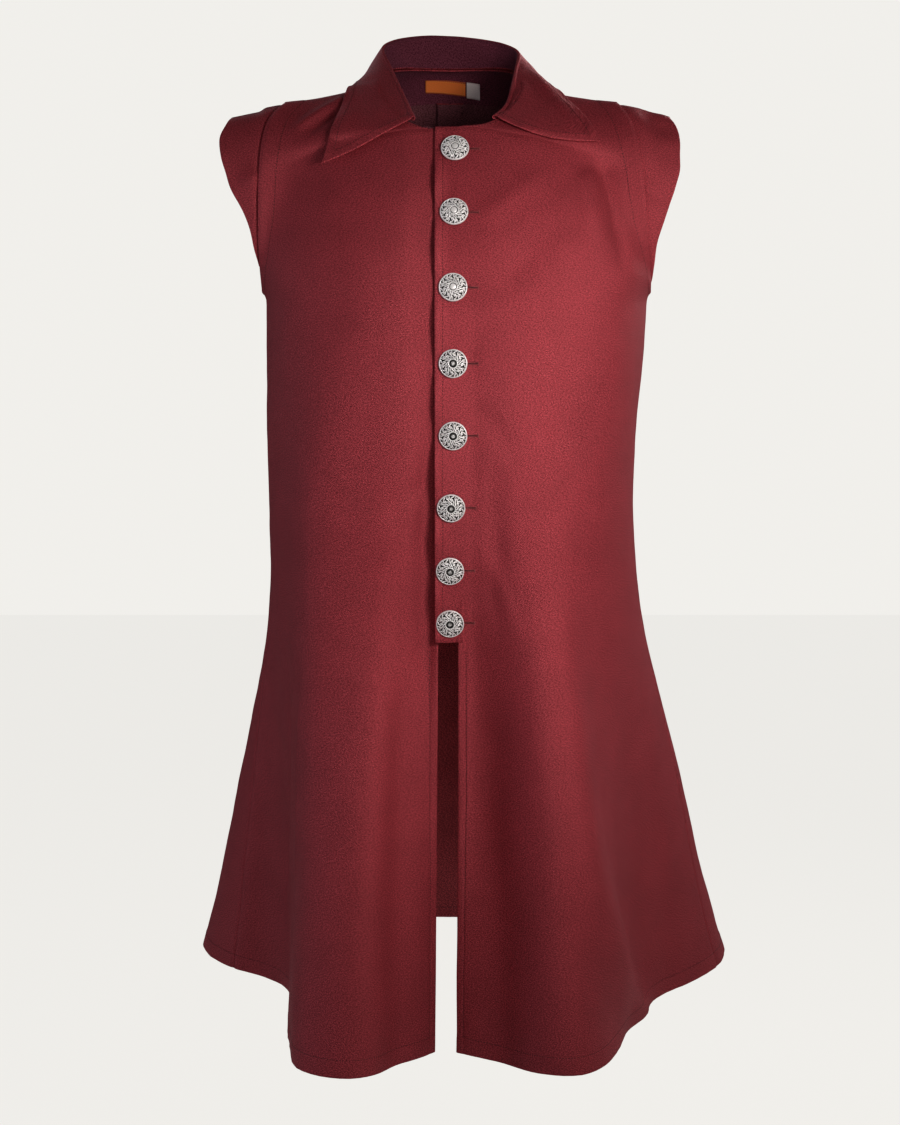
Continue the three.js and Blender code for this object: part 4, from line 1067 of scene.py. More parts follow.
grid = yoke_grid()
out = outward(grid, -1)
count = np.count_nonzero(YOKE_PLACES <= NECK_PLACE)
for side, columns in ((-1, slice(0, count)), (1, slice(-count, None))):
    out[-1, columns] = shoulder_direction(side)
grid = slack(grid, out, back_folds)
lift = np.zeros(grid.shape[:2])
for end in (0, -1):
    lift -= SEAM_DIP * bump(distance_to(grid, grid[end]), SEAM_REACH)
    lift += ruled(distance_to(grid, grid[:, end][:, None]), FACING, GROOVE["armhole"])
grid = raised(grid, out, lift)
yoke, yoke_out = grid, out
seams = np.zeros(grid.shape[:2], bool)
seams[[0, -1]] = True
yoke_cloth = cloth_wall("yoke_cloth", grid, out, -1, seam=seams)
# the yoke's inner face and edges take the neck colours, painted shade inside the neck
finish_cloth(yoke_cloth, "yoke", (cloth, neck_painted_shade, neck_painted_shade))

columns = np.arange(grid.shape[1])
from_seam = gap_to(grid, grid[0])
rows = np.array([np.interp(YOKE_STITCH_IN, from_seam[:, c], np.arange(len(grid))) for c in columns])
low = rows.astype(int)
part = (rows - low)[:, None]
seam_line = grid[low, columns] * (1 - part) + grid[low + 1, columns] * part
lines = [(seam_line[1:-1], out[low, columns][1:-1])]
for way in (1, -1):
    lines.append(inside_edge(grid[1:-1, ::way], out[1:-1, ::way], FACING))
sewn = stitching("yoke_stitching", lines, thread)


# ---- Wings ----
# A cap at each armhole: a strip of doubled twill, caught under the armhole's edge and
# standing out over the shoulder, widest at the top.
WING = {  # by the share of the way from an end up to the top of the shoulder
    "share": (0, 0.25, 0.5, 0.75, 1),
    "out": (0.001, 0.012, 0.034, 0.048, 0.057),
    "drop": (0, 0.002, 0.006, 0.012, 0.013),
}
WING_BEGINS = {-1: (3 / 12, 2 / 7), 1: (2 / 12, 1 / 7)}
WING_TUCK = 0.007
TUCK_CLEAR = 0.0014
WING_UNDER = 0.0019
WING_DROOP = 0.35
WING_GATHER = 0.3
WING_WAVES = ((0.061, 0.0007, 0.4), (0.034, 0.0003, 1.9))  # spacing, height, start
WING_STEPS = 22
WING_STATIONS = 150
WING_FOLDS = {  # a line by x and z, width, height, and where it rises and dies away
    -1: [
        ([(-0.195, 0.005), (-0.215, -0.01), (-0.235, -0.02)], 0.011, -0.003, (0.2, 0)),
        ([(-0.19, -0.06), (-0.205, -0.08), (-0.22, -0.09)], 0.011, 0.003, (0.2, 0)),
    ],
    1: [
        ([(0.2, -0.01), (0.22, -0.025), (0.24, -0.03)], 0.012, -0.003, (0.2, 0)),
        ([(0.19, -0.07), (0.205, -0.09), (0.225, -0.1)], 0.01, -0.0025, (0.2, 0)),
    ],
}
WING_SEAM = {"dip": 0.0016, "reach": 0.004}
WING_CURVE = 1.15
WING_CALM, INWARD_CELLS = 4, 6
WING_UNEVEN = 0.0008


def armhole_run(side):
    """The armhole's edge from a wing's front end to its back end, with the ways into the
    cloth and out of it."""
    def edge(grid, out, last, rows):
        inner = last + (INWARD_CELLS if last == 0 else -INWARD_CELLS)
        inward = unit(grid[rows, inner] - grid[rows, last])
        return grid[rows, last], inward, out[rows, last]

    last = 0 if side < 0 else -1
    above = slice(CHEST_ROW, None)
    parts = [
        edge(fronts[side], front_out[side], -1, above),
        edge(yoke[::-1], yoke_out[::-1], last, slice(1, -1)),
        [part[::-1] for part in edge(back, back_out, last, above)],
    ]
    lengths = [run_of(part[0])[-1] for part in (parts[0], parts[2])]
    points, inward, outward_ = (np.concatenate(column) for column in zip(*parts))
    run = run_of(points)
    begin, end = (share * length for share, length in zip(WING_BEGINS[side], lengths))
    places = np.linspace(begin, run[-1] - end, WING_STATIONS)

    def calm(ways):
        even = np.ones(2 * WING_CALM + 1) / (2 * WING_CALM + 1)
        padded = np.pad(at_places(ways, run, places), ((WING_CALM, WING_CALM), (0, 0)), mode="edge")
        return unit(np.stack([np.convolve(axis, even, "valid") for axis in padded.T], axis=1))

    return at_places(points, run, places), calm(inward), calm(outward_)


def wing_grid(side):
    """A wing's outer face, tucked under the armhole's edge and curving out to its free edge."""
    points, inward, outward_ = armhole_run(side)
    top = int(points[:, 2].argmax())
    run = run_of(points)
    share = np.where(run <= run[top], run / run[top], (run[-1] - run) / (run[-1] - run[top]))
    under = points - outward_ * WING_UNDER
    free = under.copy()
    free[:, 0] += side * eased(WING["share"], WING["out"], share)
    free[:, 2] -= eased(WING["share"], WING["drop"], share)
    free[:, 1] *= 1 - WING_GATHER * share
    for spacing, height, start in WING_WAVES:
        wave = np.sin(run * 2 * math.pi / spacing + start * side)
        free[:, 0] += side * height * share**0.5 * wave
    reach = np.linalg.norm(under - free, axis=1, keepdims=True)
    leave = under - inward * reach * WING_DROOP
    tuck = under + inward * WING_TUCK - outward_ * TUCK_CLEAR
    u = 1 - (1 - np.linspace(0, 1, WING_STEPS)[None, :, None]) ** WING_CURVE
    curve = under[:, None] * (1 - u) ** 2 + leave[:, None] * 2 * u * (1 - u) + free[:, None] * u**2
    return np.concatenate([tuck[:, None], (tuck + (under - tuck) * 0.5)[:, None], curve], axis=1)


for side, word in ((-1, "right"), (1, "left")):
    grid = wing_grid(side)
    out = outward(grid, side)
    grid = slack(grid, out, laid(grid, WING_FOLDS[side]), WING_UNEVEN)
    from_seam = distance_to(grid, grid[:, 2:3])
    grid = raised(grid, out, -WING_SEAM["dip"] * bump(from_seam, WING_SEAM["reach"]))
    wing_cloth = cloth_wall(f"wing_{word}_cloth", grid, out, side, rim_reach=0.0007)
    finish_cloth(wing_cloth, f"wing_{word}", (cloth, wrong_side, rubbed_and_highlit_edge))


# ---- Collar ----
# A turned-down collar of two layers of twill: a stand along the neck, a soft roll, and a
# fall that ends in a point on each side. It is topstitched inside its free edges.
COLLAR = {  # from the right front end round the back of the neck to the left front end
    "seam": [
        (-0.038, -0.067, -0.022), (-0.055, -0.052, -0.012), (-0.07, -0.026, 0.005),
        (-0.076, 0.004, 0.022), (-0.07, 0.041, 0.035), (-0.052, 0.067, 0.04),
        (-0.027, 0.08, 0.041), (0, 0.085, 0.041), (0.027, 0.08, 0.041), (0.052, 0.067, 0.04),
        (0.07, 0.041, 0.035), (0.076, 0.004, 0.022), (0.07, -0.026, 0.006),
        (0.06, -0.045, -0.009), (0.046, -0.061, -0.02),
    ],
    "fold": [
        (-0.038, -0.067, -0.018), (-0.046, -0.038, 0.001), (-0.055, -0.008, 0.02),
        (-0.064, 0.022, 0.04), (-0.072, 0.052, 0.06), (-0.06, 0.071, 0.07),
        (-0.03, 0.077, 0.075), (0, 0.079, 0.075), (0.03, 0.077, 0.072), (0.058, 0.071, 0.066),
        (0.073, 0.052, 0.056), (0.07, 0.021, 0.038), (0.065, -0.012, 0.016),
        (0.059, -0.037, -0.003), (0.046, -0.062, -0.017),
    ],
    "edge": [
        (-0.13, -0.081, -0.065), (-0.122, -0.06, -0.036), (-0.112, -0.031, -0.009),
        (-0.104, 0.014, 0.016), (-0.097, 0.062, 0.013), (-0.078, 0.1, 0.014),
        (-0.04, 0.116, 0.017), (0, 0.121, 0.017), (0.04, 0.116, 0.017), (0.079, 0.1, 0.014),
        (0.098, 0.06, 0.013), (0.109, 0.012, 0.015), (0.123, -0.016, 0),
        (0.139, -0.036, -0.021), (0.154, -0.058, -0.042),
    ],
    "bow": (
        -0.005, 0.003, 0.005, 0.005, 0.005, 0.006, 0.006, 0.006, 0.006, 0.006, 0.004, 0.004,
        0.003, 0, -0.026,
    ),
}
COLLAR_SECTIONS = 220
STAND_SHARES = (0, 0.02, 0.06, 0.12, 0.2, 0.3, 0.4, 0.5, 0.6, 0.7, 0.8, 0.9, 1)
FALL_SHARES = np.unique(np.concatenate([np.linspace(0, 1, 30), (0.985, 0.955)]))
COLLAR_FOOT = 0.0015
COLLAR_ROLL = 0.0014
STAND_MIDDLE = 0.55
FALL_ARCH = {"at": 0.42, "out": 0.5}
FALL_CLEAR = 0.003
SHOULDER_MIDDLE = {"share": 0.85, "y": 0.015, "z": -0.09}
COLLAR_STITCH_IN = 0.008
COLLAR_EDGE = {"raised": 0.0004, "groove": 0.0003, "wave": 0.0005, "reach": 0.009}
COLLAR_UNEVEN = 0.0006
COLLAR_CALM = 3
TOUCH_FROM = 0.4
PUSHED_FROM, STITCHED_FROM = len(STAND_SHARES) + 3, len(STAND_SHARES) + 4
COLLAR_FOLDS = [  # a line by x and z, width, height, and where it rises and dies away
    ([(0.077, 0.045), (0.098, 0.022), (0.12, -0.01), (0.138, -0.034)], 0.009, 0.0026, (0.15, 0.3)),
    ([(-0.074, 0.05), (-0.09, 0.015), (-0.105, -0.02), (-0.12, -0.05)], 0.009, 0.0022, (0.2, 0.3)),
]


def collar_section(seam, fold, edge, bow):
    """The collar cut across: the stand up from the neck, the roll, and the fall."""
    out = unit((edge - fold) * (1, 1, 0))
    near = fold - out * COLLAR_ROLL
    far = fold + out * COLLAR_ROLL
    near[2] = far[2] = fold[2] - COLLAR_ROLL
    foot = seam + (0, 0, COLLAR_FOOT)
    middle = foot + (near - foot) * STAND_MIDDLE
    stand = at_share(through([foot, middle, near]), STAND_SHARES)
    roll = through([near, fold, far], steps=4)[1:-1]
    arch = far + (edge - far) * FALL_ARCH["at"] + (0, 0, bow) + out * bow * FALL_ARCH["out"]
    u = FALL_SHARES[:, None]
    fall = far * (1 - u) ** 2 + arch * 2 * u * (1 - u) + edge * u**2
    return np.vstack([stand, roll, fall])


def collar_grid():
    """The under side of the collar, its fall laid over the shoulders."""
    lines = [through(COLLAR[name]) for name in ("seam", "fold", "edge")]
    lines.append(through([(bow, 0, 0) for bow in COLLAR["bow"]]))
    steps = np.arange(len(lines[0]))
    places = np.linspace(0, steps[-1], COLLAR_SECTIONS + 1)
    seam, fold, edge, bow = (at_places(line, steps, places) for line in lines)
    grid = np.array([collar_section(*cut) for cut in zip(seam, fold, edge, bow[:, 0])])
    sheets = [sheet_to_touch(front, front_keep(front)) for front in (fronts[-1], fronts[1])]
    sheets += [sheet_to_touch(yoke), sheet_to_touch(back)]
    pushed = np.zeros(grid.shape[:2])
    away = np.zeros_like(grid)
    for r, c in np.ndindex(pushed.shape):
        if c < PUSHED_FROM:
            continue
        point = Vector(grid[r, c])
        middle_x = point.x * SHOULDER_MIDDLE["share"]
        centre = Vector((middle_x, SHOULDER_MIDDLE["y"], SHOULDER_MIDDLE["z"]))
        way = (point - centre).normalized()
        far = centre + way * TOUCH_FROM
        hits = [sheet.ray_cast(far, -way, TOUCH_FROM)[0] for sheet in sheets]
        hits = [(hit - centre).length for hit in hits if hit is not None]
        away[r, c] = way
        if hits:
            pushed[r, c] = max(max(hits) + FALL_CLEAR - (point - centre).length, 0)
    for _ in range(COLLAR_CALM):
        soft = np.pad(pushed, 1, mode="edge")
        soft = (soft[:-2, 1:-1] + soft[2:, 1:-1] + soft[1:-1, :-2] + soft[1:-1, 2:]) / 4
        pushed = np.maximum(pushed, soft * (pushed > 0))
    return raised(grid, away, pushed)


under = collar_grid()
up = outward(under, -1)
fall = slice(len(STAND_SHARES), None)
grid = under + up * CLOTH
grid = slack(grid, up, laid(grid[:, fall], COLLAR_FOLDS), COLLAR_UNEVEN)
edges = (grid[:, -1], grid[0, fall], grid[-1, fall])
from_edges = [gap_to(grid, edge) for edge in edges]
nearest = np.min(from_edges, axis=0)[:, fall]
lift = np.zeros(grid.shape[:2])
lift[:, fall] = ruled(nearest, COLLAR_STITCH_IN, COLLAR_EDGE["groove"], COLLAR_EDGE["raised"])
waves = puckered(run_of(grid[:, -1]), COLLAR_EDGE["wave"])[:, None]
lift[:, fall] += waves * bump(nearest, COLLAR_EDGE["reach"])
grid = raised(grid, up, lift)
collar_cloth = cloth_wall("collar_cloth", grid, up, -1, rim_reach=0.0008)
finish_cloth(collar_cloth, "collar", (cloth, neck_painted_shade, rubbed_and_highlit_edge))
# the stand's face inside the neck takes the neck colours as painted shade; the fall's under face
# stays plain cloth
cells = len(grid) - 1, grid.shape[1] - 1
inner_stand = np.broadcast_to(np.arange(cells[1]) < len(STAND_SHARES) + 1, cells)
looks = np.zeros(len(collar_cloth.data.polygons), int)
collar_cloth.data.polygons.foreach_get("material_index", looks)
looks[: 2 * inner_stand.size] = 0
looks[: inner_stand.size] = inner_stand.reshape(-1)
collar_cloth.data.polygons.foreach_set("material_index", looks)
collar_cloth.data.update()


def crossings(grid, out, distance, others):
    """The stitch line inside one edge of the collar, where it is clear of its other edges."""
    points, ways = [], []
    for line, way, far, clear in zip(grid, out, distance, others):
        k = np.flatnonzero((far[:-1] - COLLAR_STITCH_IN) * (far[1:] - COLLAR_STITCH_IN) <= 0)
        if len(k) == 0:
            continue
        k = k[-1]
        share = (COLLAR_STITCH_IN - far[k]) / (far[k + 1] - far[k])
        if clear[k] + (clear[k + 1] - clear[k]) * share < COLLAR_STITCH_IN:
            continue
        points.append(line[k] + (line[k + 1] - line[k]) * share)
        ways.append(way[k])
    return np.array(points), np.array(ways)


from_fall, from_right, from_left = from_edges
lines = [crossings(grid, up, from_fall, np.minimum(from_right, from_left))]
half = len(grid) // 2
for rows, from_point in ((slice(0, half), from_right), (slice(half, None), from_left)):
    part = (table[rows, STITCHED_FROM:] for table in (grid, up, from_point, from_fall))
    lines.append(crossings(*(np.swapaxes(table, 0, 1) for table in part)))
sewn = stitching("collar_stitching", lines, thread)


# ---- Buttons ----
# Eight cast metal buttons, silvered and antiqued: a bright rim, a band of pierced-looking
# scrolls and leaves, and a small plain boss. A loop underneath stands in the buttonhole.
BUTTON_RADIUS = 0.0145
BUTTON_CLEAR = 0.0011
BUTTON_SLOPE = 0.6
BUTTON_RINGS = 74
BUTTON_SPOKES = 240
BUTTON_TURN = 0.37
BUTTON_DOME = {  # the form under the relief
    "radius": (0, 0.0055, 0.0105, 0.0141, 0.0145),
    "height": (0.0056, 0.0051, 0.0038, 0.0019, 0.0012),
}
SCROLL_REPEATS = 8
RELIEF = {"height": 0.0012, "level": 0.6, "fade": 0.0008}
RINGS = ((0.0045, 0.0007, 0.9), (0.01375, 0.00085, 1))  # distance out, half width and height
SCROLLS = [  # strokes of one repeat: distance from the middle in mm and degrees round, and width
    ([(12.4, -20), (11.2, -10), (9.3, -7), (8.0, -12), (8.6, -18), (9.7, -16)], 0.75),
    ([(5.6, -17), (6.4, -8), (7.3, 3), (9.2, 9), (11.6, 8)], 0.8),
    ([(12.6, 1), (10.9, 1), (9.7, -1)], 0.6),
    ([(5.4, 8), (6.6, 15), (8.3, 19)], 0.6),
    ([(12.5, 15), (11.3, 16.5), (10.1, 14.5)], 0.55),
]
SILVER = {"bright": (1, 0.975, 0.985), "dark": (0.022, 0.019, 0.019), "rough": (0.7, 0.3)}
RUBBED_FROM = (0.52, 0.68)  # the heights on the cast ornament where wear begins and is full
GRIME = {"noise": (900, 3), "share": 0.3, "relief": (0.25, 0.0002)}
BUTTON_PAINTED_REFLECTION = {  # painted reflection: how much brighter the upper buttons and darker the lower ones are painted, and how bright each boss is left, for the darker surroundings the lower ones reflect
    "upper": {"painted_lift": 0.06, "boss": 1.0, "last": 3},
    "lower": {"painted_lift": -0.06, "boss": 0.72},
}
BOSS = {"radius": 0.0037, "height": 0.75}
UNDERSIDE = (  # radius and height, from the rim to the end of the shank
    (0.0145, 0.0008), (0.0139, 0.0001), (0.011, -0.0001), (0.0022, 0), (0.0022, -0.0016),
)
UNDER_SHADE = 0.2


def rounded(distance, half_width):
    """The height of a round ridge by the distance from its middle line."""
    return np.sqrt(np.clip(1 - (distance / half_width) ** 2, 0, 1))


def button_relief(radius, angle):
    """Height of the cast ornament over the dome, from 0 in its hollows to 1 on its ridges."""
    height = np.zeros_like(radius)
    period = 2 * math.pi / SCROLL_REPEATS
    inside = (angle + period / 2) % period - period / 2
    place = np.stack([radius * np.cos(inside), radius * np.sin(inside)], axis=-1)
    for stroke, width in SCROLLS:
        out, turned, _ = through([(r / 1000, math.radians(a), 0) for r, a in stroke], steps=4).T
        for shift in (-period, 0, period):
            line = np.stack([out * np.cos(turned + shift), out * np.sin(turned + shift)], axis=1)
            near = np.full(radius.shape, np.inf)
            for a, b in zip(line[:-1], line[1:]):
                share = np.clip(((place - a) @ (b - a)) / ((b - a) @ (b - a)), 0, 1)
                beside = place - (a + share[..., None] * (b - a))
                near = np.minimum(near, np.linalg.norm(beside, axis=-1))
            height = np.maximum(height, rounded(near, width / 1000))
    for at, width, top in RINGS:
        height = np.maximum(height, top * rounded(radius - at, width))
    return np.maximum(height, BOSS["height"] * rounded(radius, BOSS["radius"]))


def button_mesh(turn, wear):
    """Points, faces and tone of one button, with +Z out of the cloth: the ornament's height,
    shifted by painted reflection.
    """
    radii = np.linspace(0.0004, BUTTON_RADIUS, BUTTON_RINGS)
    angles = np.arange(BUTTON_SPOKES) * 2 * math.pi / BUTTON_SPOKES
    r, a = np.meshgrid(radii, angles, indexing="ij")
    ornament = button_relief(r, a + turn)
    raised_by = RELIEF["height"] * (ornament - RELIEF["level"])
    z = np.interp(r, BUTTON_DOME["radius"], BUTTON_DOME["height"])
    z = z + raised_by * np.sqrt(np.clip((BUTTON_RADIUS - r) / RELIEF["fade"], 0, 1))
    under_r, under_z = (np.repeat([column], BUTTON_SPOKES, axis=0).T for column in zip(*UNDERSIDE))
    r, z = np.vstack([r, under_r]), np.vstack([z, under_z])
    points = np.stack([r * np.cos(angles), r * np.sin(angles), z], axis=-1).reshape(-1, 3)
    points = np.vstack([points, (0, 0, z[0].mean()), (0, 0, UNDERSIDE[-1][1])])
    index = np.arange(r.size).reshape(r.shape)
    following = np.roll(index, -1, axis=1)
    quads = np.stack([index[:-1], index[1:], following[1:], following[:-1]], axis=-1).reshape(-1, 4)
    top, bottom = r.size, r.size + 1
    caps = [(top, a, b) for a, b in zip(index[0], following[0])]
    caps += [(bottom, b, a) for a, b in zip(index[-1], following[-1])]
    boss = r[:BUTTON_RINGS] < BOSS["radius"]
    # painted reflection: the button's tone shifted as a whole, and its boss dimmed on the lower
    # ones
    bright = np.where(boss, ornament * wear["boss"], ornament) + wear["painted_lift"]
    shade = np.full(len(points), UNDER_SHADE)
    shade[: bright.size] = bright.reshape(-1)
    shade[top] = bright[0].mean()
    return points, [*quads.tolist(), *caps], shade


def silver_material():
    """Silvered metal, worn bright on its ridges and nearly black in its hollows."""
    material, tree, shader = new_material("antiqued_silver", Metallic=0.2)
    # The relief attribute holds the ornament's height with each button's painted reflection added.
    cast = node_of(tree, "ShaderNodeAttribute", attribute_name="relief").outputs["Fac"]
    place = node_of(tree, "ShaderNodeTexCoord").outputs["Object"]
    grime = speckle(tree, place, *GRIME["noise"])
    worn = ranged(tree, maths(tree, "MULTIPLY_ADD", grime, GRIME["share"], cast), RUBBED_FROM)
    tree.links.new(blended(tree, worn, SILVER["dark"], SILVER["bright"]), shader["Base Color"])
    tree.links.new(ranged(tree, worn, (0, 1), SILVER["rough"]), shader["Roughness"])
    relief(tree, shader, grime, *GRIME["relief"])
    return material


silver = silver_material()
overlap = sheet_to_touch(fronts[1], front_keep(fronts[1]))


def on_front(x, z):
    return overlap.ray_cast(Vector((x, -1, z)), Vector((0, 1, 0)))[0]


def button_frame(x, z):
    """The place on the cloth behind a button, and its ways along, up and out of the cloth."""
    half = BUTTON_RADIUS * BUTTON_SLOPE
    up = (on_front(x, z + half) - on_front(x, z - half)).normalized()
    along = Vector((1, 0, 0))
    return on_front(x, z), along, up, along.cross(up).normalized()


button_frames = []
for number in range(1, BUTTON_COUNT + 1):
    low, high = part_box(f"button_{number}")
    button_frames.append(button_frame((low.x + high.x) / 2, (low.z + high.z) / 2))
    place, along, up, out = np.array(button_frames[-1])
    # painted reflection: the upper buttons brighter, the lower ones darker
    wear = BUTTON_PAINTED_REFLECTION["upper" if number <= BUTTON_PAINTED_REFLECTION["upper"]["last"] else "lower"]
    points, faces, shade = button_mesh(number * BUTTON_TURN, wear)
    points = place + (points + (0, 0, BUTTON_CLEAR)) @ np.array([along, up, out])
    button = smooth_mesh(f"button_{number}_cast", points, faces)
    relief_and_reflection_layer = button.data.attributes.new("relief", "FLOAT", "POINT")
    relief_and_reflection_layer.data.foreach_set("value", shade.astype(np.float32))
    finish_cloth(button, f"button_{number}", (silver,))


# ---- Buttonholes ----
# Eight worked buttonholes across the overlapping front: close stitches each side of a slit, and a
# bar at the end away from the edge. A dark strip of short stitches along each slit is painted
# shadow in its opening.
BUTTONHOLE = {"before": 0.003, "after": 0.0245, "reach": 0.0014, "gap": 0.00045, "raised": 0.0003}
BAR = {"stitches": 7, "pitch": 0.00055, "from": 0.0001, "to": 0.0014, "raised": 0.0005}
HOLE_PITCH = 0.0007
HOLE_STITCH = (0.00085, 0.0013, 0.0006, 0.0006)  # pitch, length, width and height
SLIT_STITCH = (0.002, 0.003, 0.0008, 0.0003)
SLIT_PART = {"step": 0.002, "length": 0.0021, "raised": 0.00012}
HOLE_THREAD = (0.4, 0.08, 0.09)
SLIT_PAINTED_SHADOW = (0.07, 0.008, 0.013)


def over_front(place, out, ends, lifted):
    """A short line that lies on the front, from offsets by x and z, with its directions."""
    points = [on_front(place.x + x, place.z + z) + out * lifted for x, z in ends]
    return np.array(points), np.array([out, out])


lines, slit_shadows = [], []
for place, along, up, out in button_frames:
    steps = int((BUTTONHOLE["before"] + BUTTONHOLE["after"]) / HOLE_PITCH)
    for k in range(steps + 1):
        x = -BUTTONHOLE["before"] + k * HOLE_PITCH
        for way in (-1, 1):
            ends = (x, way * BUTTONHOLE["gap"]), (x, way * BUTTONHOLE["reach"])
            lines.append(over_front(place, out, ends, BUTTONHOLE["raised"]))
    for k in range(BAR["stitches"]):
        z = (k - BAR["stitches"] // 2) * BAR["pitch"]
        ends = [(BUTTONHOLE["after"] + BAR[end], z) for end in ("from", "to")]
        lines.append(over_front(place, out, ends, BAR["raised"]))
    # painted shadow: dark short stitches along the slit, for the shade in its opening
    for x in np.arange(-BUTTONHOLE["before"], BUTTONHOLE["after"], SLIT_PART["step"]):
        ends = (x, 0), (x + SLIT_PART["length"], 0)
        slit_shadows.append(over_front(place, out, ends, SLIT_PART["raised"]))
for name, paths, looks, colour, size in (
    ("front_left_buttonholes", lines, "buttonhole_thread", HOLE_THREAD, HOLE_STITCH),
    ("front_left_slit_shadows", slit_shadows, "buttonhole_slit_shadow", SLIT_PAINTED_SHADOW, SLIT_STITCH),
):
    stitching(name, paths, thread_material(looks, colour), size)


# ---- Label and size tag ----
# A bare orange woven ribbon and a bare pale tape, both sewn flat to the inside of the yoke
# below the collar. The ribbon has a darker selvedge along each long edge.
TAGS = {  # x at each end, shares of the yoke's height, and how far it leans
    "label": {"from": -0.027, "to": 0.017, "low": 0.17, "high": 0.47, "tilt": 0.08},
    "size_tag": {"from": 0.0185, "to": 0.033, "low": 0.1, "high": 0.42, "tilt": 0.02},
}
TAG_ROWS, TAG_COLUMNS = 11, 25
TAG_DEPTH = 0.0008
TAG_BEHIND = 0.0009
TAG_STITCH = (0.0022, 0.0015, 0.0004, 0.0003)
TAG_COLOURS = {  # of the ribbon, its selvedge and its thread
    "label": ((0.92, 0.26, 0.06), (0.5, 0.1, 0.03), (0.85, 0.33, 0.1)),
    "size_tag": ((0.97, 0.88, 0.88), (0.85, 0.74, 0.75), (0.9, 0.8, 0.81)),
}
RIBBON_RIB = 0.0008
SELVEDGE = (0.0016, 0.0011)  # how far in from each long edge it begins and is full
FIBRE = {"noise": (1300, 2), "tone": (0.72, 1.25)}
RIBBON_RELIEF = (0.5, 0.0002)


def inside_yoke(x, height):
    """A place against the yoke's inner face, and the way to the inside of the garment."""
    k = np.searchsorted(YOKE_ROWS, height) - 1
    part = (height - YOKE_ROWS[k]) / (YOKE_ROWS[k + 1] - YOKE_ROWS[k])
    row, ways = (table[k] * (1 - part) + table[k + 1] * part for table in (yoke, yoke_out))
    inward = -unit(at_places(ways, row[:, 0], x))
    return at_places(row, row[:, 0], x) + inward * (CLOTH + TAG_BEHIND), inward


def ribbon_effect():
    """Fine ribs across a woven ribbon, its darker long edges, and its uneven fibres."""
    group, given, result = effect(
        "ribbon_weave", {"Place": "Vector", "Height": "Float"},
        {"Rib": "Float", "Selvedge": "Float", "Fibre": "Float"},
    )
    parts = node_of(group, "ShaderNodeSeparateXYZ", inputs={0: given["Place"]}).outputs
    rib = maths(group, "SINE", maths(group, "MULTIPLY", parts["X"], 2 * math.pi / RIBBON_RIB))
    middle = maths(group, "MULTIPLY", given["Height"], 0.5)
    away = maths(group, "ABSOLUTE", maths(group, "SUBTRACT", parts["Y"], middle))
    from_edge = maths(group, "SUBTRACT", middle, away)
    group.links.new(rib, result["Rib"])
    group.links.new(ranged(group, from_edge, SELVEDGE), result["Selvedge"])
    group.links.new(speckle(group, given["Place"], *FIBRE["noise"]), result["Fibre"])
    return group


ribbon_weave = ribbon_effect()


def ribbon_material(name, colour, edge, height):
    """Woven ribbon of a given height, with a soft shine."""
    material, tree, shader = new_material(name, Roughness=0.5, Sheen_Weight=0.15)
    place = node_of(tree, "ShaderNodeUVMap", uv_map="weave").outputs[0]
    inputs = {"Place": place, "Height": height}
    weave = node_of(tree, "ShaderNodeGroup", node_tree=ribbon_weave, inputs=inputs).outputs
    plain = blended(tree, weave["Selvedge"], colour, edge)
    tone = ranged(tree, weave["Fibre"], (0, 1), FIBRE["tone"])
    tree.links.new(vector_maths(tree, "SCALE", {0: plain, "Scale": tone})[0], shader["Base Color"])
    relief(tree, shader, weave["Rib"], *RIBBON_RELIEF)
    return material


for name, size in TAGS.items():
    grid, inward = np.zeros((2, TAG_ROWS, TAG_COLUMNS, 3))
    for r, c in np.ndindex(TAG_ROWS, TAG_COLUMNS):
        across, up = c / (TAG_COLUMNS - 1), r / (TAG_ROWS - 1)
        x = size["from"] + (size["to"] - size["from"]) * across
        height = size["low"] + (size["high"] - size["low"]) * up + size["tilt"] * (0.5 - across)
        grid[r, c], inward[r, c] = inside_yoke(x, height)
    height = run_of(grid[:, TAG_COLUMNS // 2])[-1]
    inner = grid + inward * TAG_DEPTH
    woven = cloth_wall(f"{name}_woven", inner, inward, 1, depth=TAG_DEPTH, rim_reach=0.0001)
    colour, edge, thread_colour = TAG_COLOURS[name]
    finish_cloth(woven, name, (ribbon_material(f"{name}_ribbon", colour, edge, height),))
    sides = ((slice(1, -1), 1), (slice(1, -1), -2), (1, slice(1, -1)), (-2, slice(1, -1)))
    rim = [(inner[side], inward[side]) for side in sides]
    sewing = thread_material(f"{name}_thread", thread_colour)
    stitching(f"{name}_stitching", rim, sewing, TAG_STITCH)


# ---- Floor and light ----
# A plain pale floor well below the hem and a pale surround. Two soft lights stand in front,
# the stronger one on the wearer's left, one at each side draws the folds, and two stand behind.
FLOOR_DROP, FLOOR_REACH = 0.55, 6.0
PALE = (1, 0.985, 0.95, 1)
FLOOR_GLOW = 0.7
FLOOR_LIGHT, FLOOR_SEEN = (0.8, 0.79, 0.77), (0.08, 0.078, 0.075)
WORLD_LIGHT, WORLD_SEEN = 0.05, 0.74


def seen_by_camera(tree):
    return node_of(tree, "ShaderNodeLightPath").outputs["Is Camera Ray"]


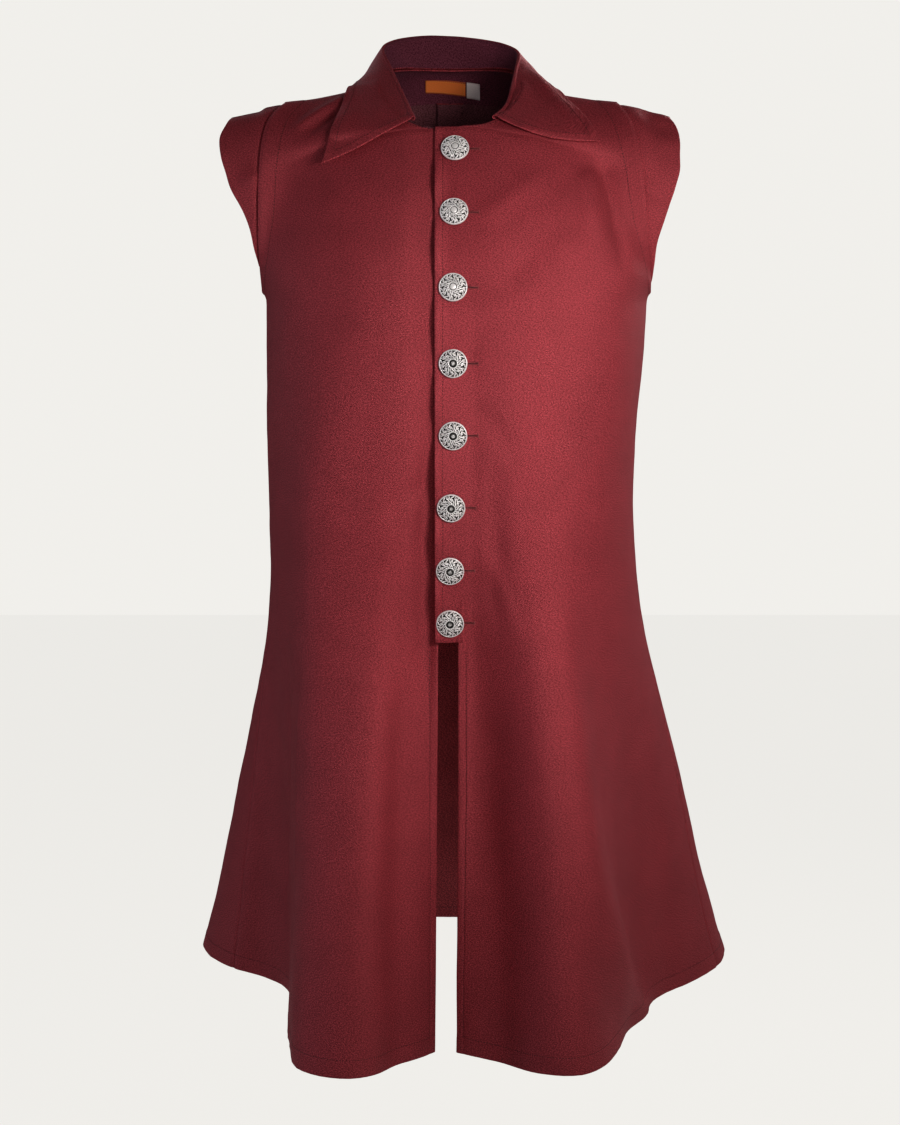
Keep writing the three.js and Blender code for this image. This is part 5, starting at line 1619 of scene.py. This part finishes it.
floor_mesh = bpy.data.meshes.new("floor")
corners = ((-1, -1), (1, -1), (1, 1), (-1, 1))
floor_mesh.from_pydata(
    [(x * FLOOR_REACH, y * FLOOR_REACH, HEM_Z - FLOOR_DROP) for x, y in corners], [], [(0, 1, 2, 3)]
)
floor = stood("floor", floor_mesh)
pale_floor, tree, shader = new_material("pale_floor", Roughness=0.9, Emission_Color=PALE)
seen = seen_by_camera(tree)
tree.links.new(maths(tree, "MULTIPLY", seen, FLOOR_GLOW), shader["Emission Strength"])
tree.links.new(blended(tree, seen, FLOOR_LIGHT, FLOOR_SEEN), shader["Base Color"])
floor.data.materials.append(pale_floor)

world = bpy.data.worlds.new("studio")
world.use_nodes = True
tree = world.node_tree
surround = tree.nodes["Background"].inputs
surround["Color"].default_value = PALE
strength = ranged(tree, seen_by_camera(tree), (0, 1), (WORLD_LIGHT, WORLD_SEEN))
tree.links.new(strength, surround["Strength"])
bpy.context.scene.world = world
bpy.context.scene.view_settings.view_transform = "Standard"
bpy.context.scene.view_settings.look = "Medium High Contrast"

LIGHTS = [  # name, beam, degrees to the wearer's left and up, distance, size, watts, colour
    ("front", 65, 28, 16, 1.3, 0.4, 30, (1, 0.95, 0.9)),
    ("near_camera", None, 5, 8, 2.1, 0.5, 3.4, (1, 0.98, 0.96)),
    ("side_left", None, 80, 10, 2.3, 0.9, 6, (1, 0.9, 0.84)),
    ("side_right", None, -82, 5, 2.3, 0.9, 7.5, (0.86, 0.9, 1)),
    ("behind_left", None, 142, 24, 2.3, 0.9, 16, (1, 0.98, 0.95)),
    ("behind_right", None, -150, 30, 2.6, 1.2, 5, (0.92, 0.95, 1)),
]
LIGHT_AIM = Vector((0, 0, -0.39))
for name, beam, round_, up, distance, size, watts, colour in LIGHTS:
    lamp = stood(name, bpy.data.lights.new(name, "SPOT" if beam else "AREA"))
    if beam:
        lamp.data.spot_size = math.radians(beam)
        lamp.data.spot_blend = 1
        lamp.data.shadow_soft_size = size / 2
    else:
        lamp.data.size = size
    lamp.data.energy = watts
    lamp.data.color = colour
    round_, up = math.radians(round_), math.radians(up)
    way = Vector((math.sin(round_) * math.cos(up), -math.cos(round_) * math.cos(up), math.sin(up)))
    lamp.location = LIGHT_AIM + way * distance
    lamp.rotation_euler = (-way).to_track_quat("-Z", "Y").to_euler()
